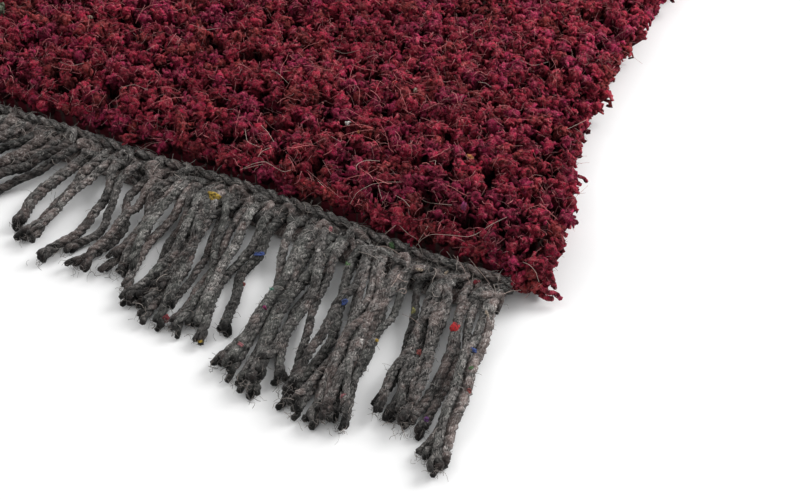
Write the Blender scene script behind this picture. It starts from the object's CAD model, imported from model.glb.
"""The looks of a hand-knotted wool rug: a wine-red shag pile and a charcoal warp fringe.

Metres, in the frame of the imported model: the origin is on the floor under the middle of
the rug, +X runs across it, +Y along it and +Z up.
"""

import logging
import math
import random
from collections.abc import Sequence
from dataclasses import dataclass, field, replace
from enum import Enum
from typing import Any, NamedTuple

import bpy
import numpy as np
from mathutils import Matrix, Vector, noise
from mathutils.bvhtree import BVHTree


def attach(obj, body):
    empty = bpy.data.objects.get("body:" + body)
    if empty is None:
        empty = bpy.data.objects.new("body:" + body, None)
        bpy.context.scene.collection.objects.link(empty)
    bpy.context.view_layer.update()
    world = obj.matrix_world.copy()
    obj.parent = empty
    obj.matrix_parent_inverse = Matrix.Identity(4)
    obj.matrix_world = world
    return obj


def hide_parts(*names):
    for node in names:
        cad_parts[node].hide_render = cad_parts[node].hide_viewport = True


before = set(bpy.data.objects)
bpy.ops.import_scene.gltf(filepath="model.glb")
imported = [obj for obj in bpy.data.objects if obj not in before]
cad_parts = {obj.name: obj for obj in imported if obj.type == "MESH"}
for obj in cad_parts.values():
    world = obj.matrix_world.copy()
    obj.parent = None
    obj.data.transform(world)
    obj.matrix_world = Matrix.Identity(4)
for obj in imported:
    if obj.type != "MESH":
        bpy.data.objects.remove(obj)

MM = 0.001
IMAGE_WIDTH = 800
IMAGE_HEIGHT = 500
BODY = "root"
TAU = 2.0 * math.pi
UV_LENGTH = 10.0 * MM
FLOOR_GAP = 0.1 * MM
HAIR_GAP = 0.3 * MM
X_LIMITS = (-0.313, 0.3155)
NOISE_MIDDLE = 0.5
EASINGS = 3

Array = np.ndarray
Rng = np.random.Generator
Material = bpy.types.Material
Row = tuple[float, ...]
Span = tuple[float, float]
Table = tuple[Span, ...]
Colour = tuple[float, float, float, float]

# The record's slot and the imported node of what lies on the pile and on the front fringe
PILE = ("pile_wool", "pile_field")
FRINGE = ("fringe_wool", "fringe_front")

log = logging.getLogger("rug")


class End(Enum):
    """An end of the rug, with the sign of its y."""

    FRONT = -1
    BACK = 1


CLUMP_SEEDS = {End.FRONT: 23, End.BACK: 37}


class Dye(Enum):
    """The colours of the stray wool that is carded into the yarn."""

    YELLOW = (0.52, 0.34, 0.04, 1.0)
    RED = (0.62, 0.025, 0.03, 1.0)
    DARK_RED = (0.20, 0.012, 0.022, 1.0)
    PINK = (0.55, 0.20, 0.22, 1.0)
    MAGENTA = (0.28, 0.02, 0.12, 1.0)
    PURPLE = (0.16, 0.05, 0.22, 1.0)
    BRICK = (0.34, 0.075, 0.065, 1.0)
    BLUE = (0.06, 0.11, 0.36, 1.0)
    GREEN = (0.09, 0.20, 0.07, 1.0)
    MINT = (0.12, 0.30, 0.22, 1.0)
    ORANGE = (0.75, 0.27, 0.08, 1.0)
    CREAM = (0.62, 0.50, 0.38, 1.0)
    WHITE = (0.75, 0.71, 0.68, 1.0)
    OLIVE = (0.30, 0.28, 0.09, 1.0)


# Arrays and meshes


def unit(vectors: Array) -> Array:
    """Vectors scaled to length one, along the last axis."""
    length = np.linalg.norm(vectors, axis=-1, keepdims=True)
    return vectors / np.maximum(length, 1e-12)


def dot(a: Array, b: Array) -> Array:
    """The dot product along the last axis, which is kept."""
    return np.sum(a * b, axis=-1, keepdims=True)


def hang(name: str, data: bpy.types.ID) -> bpy.types.Object:
    """A new object with this data, in the scene."""
    thing = bpy.data.objects.new(name, data)
    bpy.context.scene.collection.objects.link(thing)
    return thing


def turned_to(angle: Array, first: Array, second: Array) -> Array:
    """The direction at an angle from first to second: cos(angle) first + sin(angle) second."""
    return np.cos(angle) * first + np.sin(angle) * second


def lengths(paths: Array) -> Array:
    """The length along each path, (tubes, stations, 3), up to each of its points."""
    steps = np.linalg.norm(np.diff(paths, axis=1), axis=2)
    return np.concatenate([np.zeros((len(paths), 1)), np.cumsum(steps, axis=1)], axis=1)


def smoothed(values: Array, times: int, axis: int = 0) -> Array:
    """The values with each inner one made (before + 2 itself + after) / 4, some times over.

    Args:
        values: any array.
        times: how often.
        axis: along which axis.

    Returns:
        The new values.
    """
    rows = np.moveaxis(values.copy(), axis, 0)
    for _ in range(times):
        rows[1:-1] = (rows[:-2] + 2.0 * rows[1:-1] + rows[2:]) / 4.0
    return np.moveaxis(rows, 0, axis)


def eased(spots: Array, share: int) -> Array:
    """A path through spots: straight from one to the next, then smoothed.

    Args:
        spots: (count, 3).
        share: points of the path for each spot.

    Returns:
        The path's points.
    """
    knots = np.linspace(0.0, 1.0, len(spots))
    fine = np.linspace(0.0, 1.0, share * len(spots))
    path = np.column_stack([np.interp(fine, knots, spots[:, axis]) for axis in range(3)])
    return smoothed(path, EASINGS)


@dataclass
class Surface:
    """A closed skin in the making: points, quads, triangles, their UVs and point values."""

    points: Array
    quads: Array
    triangles: Array
    quad_uv: Array
    triangle_uv: Array
    values: dict[str, Array] = field(default_factory=dict)

    def paint(self, name: str, values: Array | float) -> "Surface":
        """Keeps a value for each point under a name, and gives back the surface."""
        self.values[name] = np.broadcast_to(np.asarray(values, float), (len(self.points),))
        return self

    def spread(self, values: Array) -> Array:
        """A value for each tube, or for each group of tubes, repeated over its points."""
        return np.repeat(values, len(self.points) // len(values), axis=0)

    def paint_tubes(self, **values: Array) -> "Surface":
        """Keeps named values that are given for each tube, and gives back the surface."""
        for name, tube_values in values.items():
            self.paint(name, self.spread(tube_values))
        return self

    @staticmethod
    def joined(parts: Sequence["Surface"]) -> "Surface":
        """One surface from several that carry the same named values.

        Args:
            parts: the surfaces, in order.

        Returns:
            A surface with the points of all, its faces counted on past each part's points.
        """
        starts = np.cumsum([0] + [len(part.points) for part in parts[:-1]])
        return Surface(
            np.concatenate([part.points for part in parts]),
            np.concatenate([part.quads + start for part, start in zip(parts, starts)]),
            np.concatenate([part.triangles + start for part, start in zip(parts, starts)]),
            np.concatenate([part.quad_uv for part in parts]),
            np.concatenate([part.triangle_uv for part in parts]),
            {name: np.concatenate([part.values[name] for part in parts]) for name in parts[0].values},
        )

    def build(self, name: str, material: Material, slot: str, node: str) -> bpy.types.Object:
        """Makes the mesh and its object and hangs it in the frame.

        Wool that would dip into the floor lies flat on it.

        Args:
            name: the piece's name.
            material: its finish.
            slot: the record's slot that the finish stands for.
            node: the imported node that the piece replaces.

        Returns:
            The new object, at the origin.
        """
        mesh = bpy.data.meshes.new(name)
        loops = np.concatenate([self.quads.ravel(), self.triangles.ravel()])
        quad_starts = 4 * np.arange(len(self.quads))
        triangle_starts = 4 * len(self.quads) + 3 * np.arange(len(self.triangles))
        starts = np.concatenate([quad_starts, triangle_starts]).astype(np.int32)
        mesh.vertices.add(len(self.points))
        resting = np.column_stack([self.points[:, :2], np.maximum(self.points[:, 2], FLOOR_GAP)])
        mesh.vertices.foreach_set("co", resting.astype(np.float32).ravel())
        mesh.loops.add(len(loops))
        mesh.loops.foreach_set("vertex_index", loops.astype(np.int32))
        mesh.polygons.add(len(starts))
        mesh.polygons.foreach_set("loop_start", starts)
        mesh.update(calc_edges=True)
        mesh.shade_smooth()
        uv = np.concatenate([self.quad_uv.reshape(-1, 2), self.triangle_uv.reshape(-1, 2)])
        mesh.uv_layers.new(name="yarn").uv.foreach_set("vector", uv.astype(np.float32).ravel())
        for key, values in self.values.items():
            attribute = mesh.attributes.new(key, "FLOAT", "POINT")
            attribute.data.foreach_set("value", values.astype(np.float32))
        mesh.materials.append(material)
        piece = hang(name, mesh)
        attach(piece, BODY)
        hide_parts(node)
        log.info("%s: %d triangles", name, 2 * len(self.quads) + len(self.triangles))
        return piece


def ring_frames(paths: Array) -> tuple[Array, Array, Array]:
    """The turning frame along each path, carried on from point to point without twist.

    The tangent is the difference of the neighbouring points. Each normal is the last one
    less its part along the new tangent, and the binormal is tangent cross normal.

    Args:
        paths: points, (tubes, stations, 3).

    Returns:
        Tangents, normals and binormals of the same shape.
    """
    tangents = unit(np.gradient(paths, axis=1))
    first = tangents[:, 0]
    sideways = np.where(np.abs(first[:, 2:3]) < 0.9, [0.0, 0.0, 1.0], [1.0, 0.0, 0.0])
    normals = np.empty_like(paths)
    normals[:, 0] = unit(np.cross(first, sideways))
    for station in range(1, paths.shape[1]):
        last, tangent = normals[:, station - 1], tangents[:, station]
        normals[:, station] = unit(last - dot(last, tangent) * tangent)
    return tangents, normals, np.cross(tangents, normals)


def face_uv(*corners: tuple[Array, Array]) -> Array:
    """The faces' UVs, (faces, corners, 2), from the u and v of each of their corners."""
    pairs = [np.stack(np.broadcast_arrays(u, v), axis=-1) for u, v in corners]
    return np.stack(pairs, axis=-2).reshape(-1, len(corners), 2)


def sweep(paths: Array, radii: Array, sides: int, lobes: Array | float = 0.0) -> Surface:
    """Closed tubes along many paths at once.

    A point is its path's point plus the radius, times one plus the lobes, in the direction
    cos(angle) normal + sin(angle) binormal. Each end closes on a pole half a radius on.

    Args:
        paths: points, (tubes, stations, 3).
        radii: (tubes, stations).
        sides: points in a ring.
        lobes: share of the radius added at each ring point, (tubes, stations, sides).

    Returns:
        The tubes as one surface, with UV u round the tube and v along it in UV lengths.
    """
    count, stations, _ = paths.shape
    tangents, normals, binormals = ring_frames(paths)
    angle = (TAU * np.arange(sides) / sides)[None, None, :, None]
    reach = (radii[:, :, None] * (1.0 + lobes))[..., None]
    rings = paths[:, :, None] + reach * turned_to(angle, normals[:, :, None], binormals[:, :, None])
    start = paths[:, 0] - 0.5 * radii[:, :1] * tangents[:, 0]
    end = paths[:, -1] + 0.5 * radii[:, -1:] * tangents[:, -1]
    body = rings.reshape(count, stations * sides, 3)
    points = np.concatenate([body, start[:, None], end[:, None]], axis=1)

    side = np.arange(sides)
    turn = (side + 1) % sides
    row = sides * np.arange(stations - 1)[:, None]
    quad = np.stack([row + side, row + turn, row + sides + turn, row + sides + side], axis=-1)
    last = sides * (stations - 1)
    low = np.stack([np.full(sides, stations * sides), turn, side], axis=-1)
    high = np.stack([np.full(sides, stations * sides + 1), last + side, last + turn], axis=-1)
    offset = (stations * sides + 2) * np.arange(count)[:, None, None]
    quads = (quad.reshape(1, -1, 4) + offset).reshape(-1, 4)
    triangles = (np.concatenate([low, high])[None] + offset).reshape(-1, 3)

    along = lengths(paths) / UV_LENGTH
    u0, u1 = side / sides, (side + 1) / sides
    v0, v1, ends = along[:, :-1, None], along[:, 1:, None], along[:, [0, -1], None]
    quad_uv = face_uv((u0, v0), (u1, v0), (u1, v1), (u0, v1))
    triangle_uv = face_uv(((u0 + u1) / 2.0, ends), (u1, ends), (u0, ends))
    return Surface(points.reshape(-1, 3), quads, triangles, quad_uv, triangle_uv)


def bezier(corners: Array, stations: int) -> Array:
    """Points of many cubic curves: the Bernstein sum of four control points each.

    Args:
        corners: control points, (curves, 4, 3).
        stations: points on each curve.

    Returns:
        Points, (curves, stations, 3).
    """
    t = np.linspace(0.0, 1.0, stations)[None, :, None]
    a, b, c, d = (corners[:, index, None] for index in range(4))
    return (1 - t) ** 3 * a + 3 * t * (1 - t) ** 2 * b + 3 * t**2 * (1 - t) * c + t**3 * d


# Shaders


class Sock:
    """An output socket whose arithmetic adds Math nodes to its graph."""

    def __init__(self, graph: "Graph", socket: bpy.types.NodeSocket) -> None:
        """Keeps the graph and the socket."""
        self.graph = graph
        self.socket = socket

    def _math(self, operation: str, first: Any, second: Any = 0.0) -> "Sock":
        """A Math node on two sockets or numbers."""
        return self.graph.node("ShaderNodeMath", {"operation": operation}, {0: first, 1: second})

    def __add__(self, other: "Sock | float") -> "Sock":
        """This plus other."""
        return self._math("ADD", self, other)

    def __radd__(self, other: float) -> "Sock":
        """Other plus this."""
        return self._math("ADD", other, self)

    def __sub__(self, other: "Sock | float") -> "Sock":
        """This less other."""
        return self._math("SUBTRACT", self, other)

    def __rsub__(self, other: float) -> "Sock":
        """Other less this."""
        return self._math("SUBTRACT", other, self)

    def __mul__(self, other: "Sock | float") -> "Sock":
        """This times other."""
        return self._math("MULTIPLY", self, other)

    def __rmul__(self, other: float) -> "Sock":
        """Other times this."""
        return self._math("MULTIPLY", other, self)

    def __abs__(self) -> "Sock":
        """The size of this."""
        return self._math("ABSOLUTE", self)

    def sine(self) -> "Sock":
        """The sine of this, in radians."""
        return self._math("SINE", self)


class Graph:
    """The node tree of one material."""

    def __init__(self, name: str) -> None:
        """Makes a material with an empty tree."""
        self.material = bpy.data.materials.new(name)
        self.material.use_nodes = True
        self.tree = self.material.node_tree
        self.tree.nodes.clear()

    def node(self, kind: str, settings: dict[str, Any], sockets: dict[Any, Any], output: Any = 0) -> Sock:
        """Adds one node.

        Args:
            kind: the node's type.
            settings: its properties, set first.
            sockets: values or links of its inputs, by number or name.
            output: which output to give back.

        Returns:
            That output.
        """
        made = self.tree.nodes.new(kind)
        for key, value in settings.items():
            setattr(made, key, value)
        for key, value in sockets.items():
            if isinstance(value, Sock):
                self.tree.links.new(value.socket, made.inputs[key])
            else:
                made.inputs[key].default_value = value
        return Sock(self, made.outputs[output])

    def value(self, name: str) -> Sock:
        """A point value of the piece, by name."""
        return self.node("ShaderNodeAttribute", {"attribute_name": name}, {}, "Fac")

    def axis(self, vector: Any, number: int) -> Sock:
        """One coordinate of a vector: x, y or z by its number from 0."""
        return self.node("ShaderNodeSeparateXYZ", {}, {0: vector}, number)

    def mix(self, factor: Any, first: Any, second: Any) -> Sock:
        """Two colours mixed."""
        settings = {"data_type": "RGBA", "blend_type": "MIX", "clamp_factor": True}
        return self.node("ShaderNodeMix", settings, {0: factor, 6: first, 7: second}, 2)

    def scaled(self, colour: Any, factor: Any) -> Sock:
        """A colour or vector times a number."""
        start = colour if isinstance(colour, Sock) else tuple(colour)[:3]
        return self.node("ShaderNodeVectorMath", {"operation": "SCALE"}, {0: start, "Scale": factor})

    def noise(self, vector: Any, scale: float, detail: float = 2.0, roughness: float = 0.5) -> Sock:
        """Fractal noise of a vector, about one half."""
        sockets = {"Vector": vector, "Scale": scale, "Detail": detail, "Roughness": roughness}
        return self.node("ShaderNodeTexNoise", {}, sockets, "Fac")

    def step(self, value: Any, low: float, high: float, to_low: float = 0.0, to_high: float = 1.0) -> Sock:
        """A smooth rise from to_low to to_high as the value goes from low to high."""
        sockets = {"Value": value, "From Min": low, "From Max": high, "To Min": to_low, "To Max": to_high}
        return self.node("ShaderNodeMapRange", {"interpolation_type": "SMOOTHSTEP"}, sockets)

    def ridges(self, noise_value: Sock, width: float) -> Sock:
        """Thin lines where a noise crosses its middle: 1 there and 0 from a width away."""
        return self.step(abs(noise_value - NOISE_MIDDLE), 0.0, width, 1.0, 0.0)

    def place(self, output: str = "Object") -> Sock:
        """Object coordinates, or the UV map."""
        return self.node("ShaderNodeTexCoord", {}, {}, output)

    def bump(self, height: Any, strength: float, distance: float) -> Sock:
        """A normal from a height."""
        sockets = {"Strength": strength, "Distance": distance, "Height": height}
        return self.node("ShaderNodeBump", {}, sockets)

    def finish(self, colour: Any, normal: Any = None, **constants: Any) -> Material:
        """Closes the graph with a Principled shader.

        Args:
            colour: the base colour, a value or a link.
            normal: the normal, or None.
            constants: other inputs by name, with _ for a space.

        Returns:
            The material.
        """
        sockets = {key.replace("_", " "): value for key, value in constants.items()}
        sockets["Base Color"] = colour
        if normal is not None:
            sockets["Normal"] = normal
        shader = self.node("ShaderNodeBsdfPrincipled", {}, sockets)
        output = self.tree.nodes.new("ShaderNodeOutputMaterial")
        self.tree.links.new(shader.socket, output.inputs["Surface"])
        return self.material


@dataclass(frozen=True)
class PileWool:
    """Dyed pile wool: wine with plum and rust in it, crumbly curls and dark roots."""

    wine: Colour = (0.335, 0.013, 0.041, 1.0)
    plum: Colour = (0.315, 0.013, 0.066, 1.0)
    rust: Colour = (0.290, 0.040, 0.036, 1.0)
    dusty: Colour = (0.700, 0.270, 0.275, 1.0)
    sage: Colour = (0.230, 0.270, 0.190, 1.0)
    root_shade: float = 0.10
    crumb_scale: float = 560.0
    fibre_scale: float = 1100.0
    curl_scale: float = 430.0
    patch_scale: float = 60.0
    mat_scale: float = 120.0
    curl_width: float = 0.035
    fibre_width: float = 0.06
    relief: float = 0.35 * MM

    def material(self, name: str) -> Material:
        """The shader: hue by point value, dark gaps between crumbs, and light curls and fibres.

        Args:
            name: the material's name.

        Returns:
            The material.
        """
        graph = Graph(name)
        hue, depth, sage = graph.value("hue"), graph.value("depth"), graph.value("sage")
        place = graph.place()
        crumbs = graph.noise(place, self.crumb_scale, 4.0, 0.62)
        fibres = graph.noise(place, self.fibre_scale, 3.0, 0.65)
        curl = graph.ridges(graph.noise(place, self.curl_scale, 1.0, 0.4), self.curl_width)
        fibre = graph.ridges(fibres, self.fibre_width)
        patches = graph.noise(place, self.patch_scale)
        mats = graph.noise(place, self.mat_scale)
        patchy_hue = hue + (patches - NOISE_MIDDLE) * 1.4
        colour = graph.mix(graph.step(patchy_hue, 0.45, 0.75), self.wine, self.plum)
        colour = graph.mix(graph.step(patchy_hue, 0.38, 0.10) * 0.8, colour, self.rust)
        colour = graph.mix(sage, colour, self.sage)
        light = (curl * 0.38 + fibre * 0.34) * depth
        colour = graph.mix(light, colour, graph.mix(sage, self.dusty, self.sage))
        shade = (0.36 + 0.92 * graph.value("tone")) * graph.step(depth, 0.0, 0.85, self.root_shade, 1.0)
        shade = shade * graph.step(crumbs, 0.34, 0.58, 0.20, 1.12) * (0.25 + 1.50 * fibres)
        shade = shade * graph.step(mats, 0.36, 0.62, 0.76, 1.18)
        height = graph.step(crumbs, 0.30, 0.66) * 1.4 + curl * 0.7 + fibre * 0.3 + fibres * 0.6
        return graph.finish(
            graph.scaled(colour, shade),
            graph.bump(height, 1.0, self.relief),
            Roughness=0.95,
            Specular_IOR_Level=0.08,
            Sheen_Weight=0.06,
            Sheen_Roughness=0.5,
            Sheen_Tint=(0.85, 0.25, 0.30, 1.0),
        )


@dataclass(frozen=True)
class FringeWool:
    """Undyed charcoal yarn: heathered fibres that run along plies which twist round it."""

    dark: Colour = (0.006, 0.006, 0.006, 1.0)
    grey: Colour = (0.094, 0.087, 0.083, 1.0)
    pale: Colour = (0.385, 0.362, 0.342, 1.0)
    brown: Colour = (0.125, 0.086, 0.078, 1.0)
    cool: Colour = (0.075, 0.082, 0.074, 1.0)
    plies: int = 3
    ply_turns: float = 1.25
    streak_scale: float = 2.7
    fibre_scale: float = 2.0
    crumb_scale: float = 820.0
    fuzz_scale: float = 1450.0
    curl_scale: float = 560.0
    blotch_scale: float = 290.0
    warmth_scale: float = 170.0
    fibre_width: float = 0.060
    curl_width: float = 0.020
    relief: float = 0.42 * MM

    def material(self, name: str, carved: bool) -> Material:
        """The shader: streaks along the plies and, where the plies aren't modelled, their creases.

        The ply coordinate is u plus the turns made so far, ply_turns for each UV length, so
        that streaks follow the twist.

        Args:
            name: the material's name.
            carved: whether the mesh has its plies already.

        Returns:
            The material.
        """
        graph = Graph(name)
        uv = graph.place("UV")
        along = graph.axis(uv, 1)
        turned = (graph.axis(uv, 0) + along * self.ply_turns) * TAU
        spiral = graph.node("ShaderNodeCombineXYZ", {}, {
            0: turned.sine(), 1: (turned + TAU / 4.0).sine(), 2: along * 1.8,
        })
        place = graph.place()
        streaks = graph.noise(spiral, self.streak_scale, 4.0, 0.62)
        crumbs = graph.noise(place, self.crumb_scale, 4.0, 0.70)
        fuzz = graph.noise(place, self.fuzz_scale, 3.0, 0.65)
        fibres = graph.noise(spiral, self.fibre_scale, 2.0, 0.55)
        lines = graph.ridges(fibres, self.fibre_width)
        curls = graph.ridges(graph.noise(place, self.curl_scale, 1.0, 0.4), self.curl_width)
        blotch = graph.noise(place, self.blotch_scale, 3.0, 0.6)
        warmth = graph.noise(place, self.warmth_scale, 4.0, 0.6)
        warmth = warmth + 0.3 * (graph.value("hue") - NOISE_MIDDLE)
        blend = streaks * 0.42 + fibres * 0.16 + crumbs * 0.42
        colour = graph.mix(graph.step(blend, 0.458, 0.540), self.dark, self.grey)
        colour = graph.mix(graph.step(warmth, 0.50, 0.66) * 0.6, colour, self.brown)
        colour = graph.mix(graph.step(warmth, 0.46, 0.34) * 0.5, colour, self.cool)
        light = graph.step(fuzz, 0.54, 0.64) * 0.46 + lines * 0.32 + curls * 0.26
        colour = graph.mix(light, colour, self.pale)
        shade = 0.32 + 1.08 * graph.value("tone")
        shade = shade * graph.step(graph.value("depth"), 0.0, 0.9, 0.10, 1.25)
        shade = shade * graph.step(blotch, 0.39, 0.58, 0.52, 1.14)
        relief = streaks * 0.9 + fibres * 0.5 + crumbs * 0.5 + fuzz * 0.2 + blotch * 0.8
        if not carved:
            crease = abs((turned * (0.5 * self.plies)).sine())
            shade = shade * graph.step(crease, 0.0, 0.55, 0.35, 1.0)
            relief = relief * 0.7 + graph.step(crease, 0.0, 0.8) * 1.4
        return graph.finish(
            graph.scaled(colour, shade),
            graph.bump(relief, 1.0, self.relief),
            Roughness=0.95,
            Specular_IOR_Level=0.10,
            Sheen_Weight=0.08,
            Sheen_Roughness=0.5,
        )


@dataclass(frozen=True)
class GroundWool:
    """The knotted back and the selvedge: rows of flat wine knots over a grey warp."""

    knot: Colour = (0.155, 0.020, 0.032, 1.0)
    warp: Colour = (0.085, 0.062, 0.056, 1.0)
    knot_pitch: float = 4.9 * MM
    fibre_scale: float = 1800.0
    relief: float = 0.8 * MM

    def material(self, name: str) -> Material:
        """The shader: a knot is a bump of sin(x) times sin(y), with warp in the valleys.

        Args:
            name: the material's name.

        Returns:
            The material.
        """
        graph = Graph(name)
        place = graph.place()
        wave = math.pi / self.knot_pitch
        knot = abs((graph.axis(place, 0) * wave).sine()) * abs((graph.axis(place, 1) * wave).sine())
        fibres = graph.noise(place, self.fibre_scale, 3.0, 0.6)
        warp_shows = graph.step(knot, 0.10, 0.35, 0.85, 0.0)
        colour = graph.mix(warp_shows, self.knot, self.warp)
        colour = graph.scaled(colour, 0.5 + fibres)
        normal = graph.bump(knot * 0.7 + fibres * 0.3, 0.9, self.relief)
        return graph.finish(colour, normal, Roughness=0.95, Specular_IOR_Level=0.15)


@dataclass(frozen=True)
class HairWool:
    """Loose hairs: their colour runs from one end to another by point value."""

    deep: Colour
    fair: Colour
    uneven: float = 0.5
    uneven_scale: float = 700.0

    def material(self, name: str) -> Material:
        """The shader: deep and fair mixed by tone, a little uneven along the hair.

        Args:
            name: the material's name.

        Returns:
            The material.
        """
        graph = Graph(name)
        patches = graph.noise(graph.place(), self.uneven_scale) - NOISE_MIDDLE
        colour = graph.mix(graph.value("tone") + self.uneven * patches, self.deep, self.fair)
        return graph.finish(colour, Roughness=0.55, Specular_IOR_Level=0.4, Sheen_Weight=0.2)


@dataclass(frozen=True)
class DyedWool:
    """A fleck of dyed wool, felted into the yarn."""

    dye: Dye
    grey: Colour = (0.085, 0.078, 0.074, 1.0)
    fibre_scale: float = 1100.0
    felt_scale: float = 2400.0
    fibre_width: float = 0.05
    relief: float = 0.3 * MM

    def material(self, name: str) -> Material:
        """The shader: the dye, with the yarn's grey felted in, darker between its fibres.

        Args:
            name: the material's name.

        Returns:
            The material.
        """
        graph = Graph(name)
        place = graph.place()
        fibres = graph.noise(place, self.fibre_scale, 3.0, 0.65)
        lines = graph.ridges(fibres, self.fibre_width)
        felt = graph.noise(place, self.felt_scale, 3.0, 0.6)
        colour = graph.mix(graph.step(felt, 0.46, 0.60) * 0.45, self.dye.value, self.grey)
        colour = graph.scaled(colour, graph.step(fibres, 0.35, 0.62, 0.22, 1.0) + 0.30 * lines)
        return graph.finish(colour, graph.bump(fibres + lines * 0.5, 0.9, self.relief), Roughness=0.9)


# The rug's outline and its strands, as in the solids


class Corner(NamedTuple):
    """How far a corner is drawn out sideways and endways."""

    side: int
    end: int
    flare: float
    bow: float


class Clump(NamedTuple):
    """Strands that hang together: lean and closing in degrees, reach in metres."""

    strands: int
    lean: float
    closing: float
    reach: float


@dataclass
class Outline:
    """The pile's outline from above."""

    width: float = 0.600
    length: float = 0.880
    lock_reach: float = 0.003
    ear_side_run: float = 0.090
    ear_end_run: float = 0.130
    wave_height: float = 0.0012
    waves: Table = ((0.230, 0.6), (0.087, 0.4))
    corners: tuple[Corner, ...] = (
        Corner(1, -1, 0.0150, 0.0090),
        Corner(-1, -1, 0.0130, 0.0080),
        Corner(1, 1, 0.0120, 0.0085),
        Corner(-1, 1, 0.0140, 0.0075),
    )

    def _corner(self, side: Array, end: Array, name: str) -> Array:
        """A column of the corner table, picked by the signs of side and end."""
        found = np.zeros(np.broadcast(side, end).shape)
        for corner in self.corners:
            here = (side == corner.side) & (end == corner.end)
            found = np.where(here, getattr(corner, name), found)
        return found

    def _edge_wave(self, distance: Array, phase: Array) -> Array:
        """The waviness of an edge: a share of each wave's sine."""
        height = sum(share * np.sin(TAU * distance / length + phase) for length, share in self.waves)
        return self.wave_height * height

    @staticmethod
    def _ear(distance: Array, reach: Array, run: float) -> Array:
        """A raised cosine that is reach at the corner and nothing past run."""
        swell = 0.5 * (1.0 + np.cos(math.pi * np.minimum(distance, run) / run))
        return reach * swell

    def half_width(self, u: Array, v: Array) -> Array:
        """From the centre line to the pile's body on u's side, at the share v of the length."""
        side, end = np.where(u >= 0, 1, -1), np.where(v >= 0, 1, -1)
        from_end = (1.0 - np.abs(v)) * self.length / 2.0
        swell = self._ear(from_end, self._corner(side, end, "flare"), self.ear_side_run)
        wave = self._edge_wave(v * self.length / 2.0, 1.0 + side)
        return self.width / 2.0 - self.lock_reach + swell + wave

    def half_length(self, u: Array, v: Array) -> Array:
        """From the middle to the pile's body at v's end, at the share u of the width."""
        side, end = np.where(u >= 0, 1, -1), np.where(v >= 0, 1, -1)
        from_side = (1.0 - np.abs(u)) * self.width / 2.0
        swell = self._ear(from_side, self._corner(side, end, "bow"), self.ear_end_run)
        wave = self._edge_wave(u * self.width / 2.0, 3.0 + end)
        return self.length / 2.0 - self.lock_reach + swell + wave

    def spot(self, u: Array, v: Array, inset: float = 0.0) -> tuple[Array, Array]:
        """The x and y of a spot given by its shares of the width and length.

        Args:
            u: from -1 to 1 across.
            v: from -1 to 1 along.
            inset: how far inside the body's edge 1 lies.

        Returns:
            x and y.
        """
        return u * (self.half_width(u, v) - inset), v * (self.half_length(u, v) - inset)

    def end_line(self, x: Array, end: End, beyond: float) -> Array:
        """The y of a line some way beyond the pile's body at one end.

        Args:
            x: where, in metres.
            end: which end.
            beyond: how far out from the body.

        Returns:
            y at each x.
        """
        side = np.asarray(end.value, float)
        u = x / self.half_width(x, side)
        return end.value * self.half_length(u, side) + end.value * beyond


@dataclass
class StrandPlan:
    """Where the strands of one end root, lean and reach, as in the solids."""

    end: End
    outline: Outline
    strands: int = 128
    root_span: float = 0.602
    root_width: float = 0.0032
    clearance: float = 0.0004
    strip_gap: float = 0.0003
    strip_depth: float = 0.015
    reach_jitter: float = 0.0025
    clump_sizes: tuple[int, ...] = (3, 4, 5, 6, 7)
    clump_lean: float = 6.0
    clump_closing: Span = (0.5, 1.3)
    clump_reach: Span = (0.043, 0.060)
    corner_clumps: tuple[Clump, ...] = (
        Clump(2, 9.5, 0.6, 0.0620),
        Clump(4, 12.0, 0.4, 0.0540),
        Clump(5, 8.5, 0.7, 0.0590),
        Clump(5, 5.0, 1.0, 0.0580),
        Clump(7, 8.0, 1.0, 0.0505),
        Clump(4, -1.0, 1.2, 0.0430),
        Clump(3, 4.5, 1.2, 0.0430),
        Clump(3, -4.0, 0.5, 0.0420),
        Clump(4, -25.0, 0.4, 0.0400),
        Clump(5, -34.0, 0.2, 0.0450),
    )

    def _clumps(self, rng: random.Random) -> list[Clump]:
        """The clumps from the +X side inwards, cut to the number of strands.

        Args:
            rng: the seeded source.

        Returns:
            The clumps.
        """
        clumps = list(self.corner_clumps) if self.end is End.FRONT else []
        left = self.strands - sum(clump.strands for clump in clumps)
        while left > 0:
            strands = min(left, rng.choice(self.clump_sizes))
            lean = rng.gauss(0.0, self.clump_lean)
            closing, reach = rng.uniform(*self.clump_closing), rng.uniform(*self.clump_reach)
            clumps.append(Clump(strands, lean, closing, reach))
            left -= strands
        return clumps

    def routes(self) -> tuple[Array, Array, Array]:
        """Each strand's root x, slope and reach outwards, from -X to +X.

        A strand's slope is held to what keeps it clear of the one on its +X side: the
        pitch less a strand's width and clearance, over its reach.

        Returns:
            Root x, slope and reach.
        """
        rng = random.Random(CLUMP_SEEDS[self.end])
        pitch = self.root_span / (self.strands - 1)
        tightest = pitch - self.root_width - self.clearance
        routes = []
        slope = math.inf
        for clump in self._clumps(rng):
            for place in range(clump.strands):
                lean = clump.lean - clump.closing * ((clump.strands - 1) / 2.0 - place)
                reach = clump.reach + rng.uniform(-self.reach_jitter, self.reach_jitter)
                slope = min(math.tan(math.radians(lean)), slope + tightest / reach)
                x = self.root_span / 2.0 - pitch * len(routes)
                routes.append((x, slope, reach * math.cos(math.atan(slope))))
        table = np.array(routes[::-1])
        return table[:, 0], table[:, 1], table[:, 2]


# The studio


class SoftBox(NamedTuple):
    """A square area light: its name, place, side in metres and power in watts."""

    name: str
    place: tuple[float, float, float]
    side: float
    power: float


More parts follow.
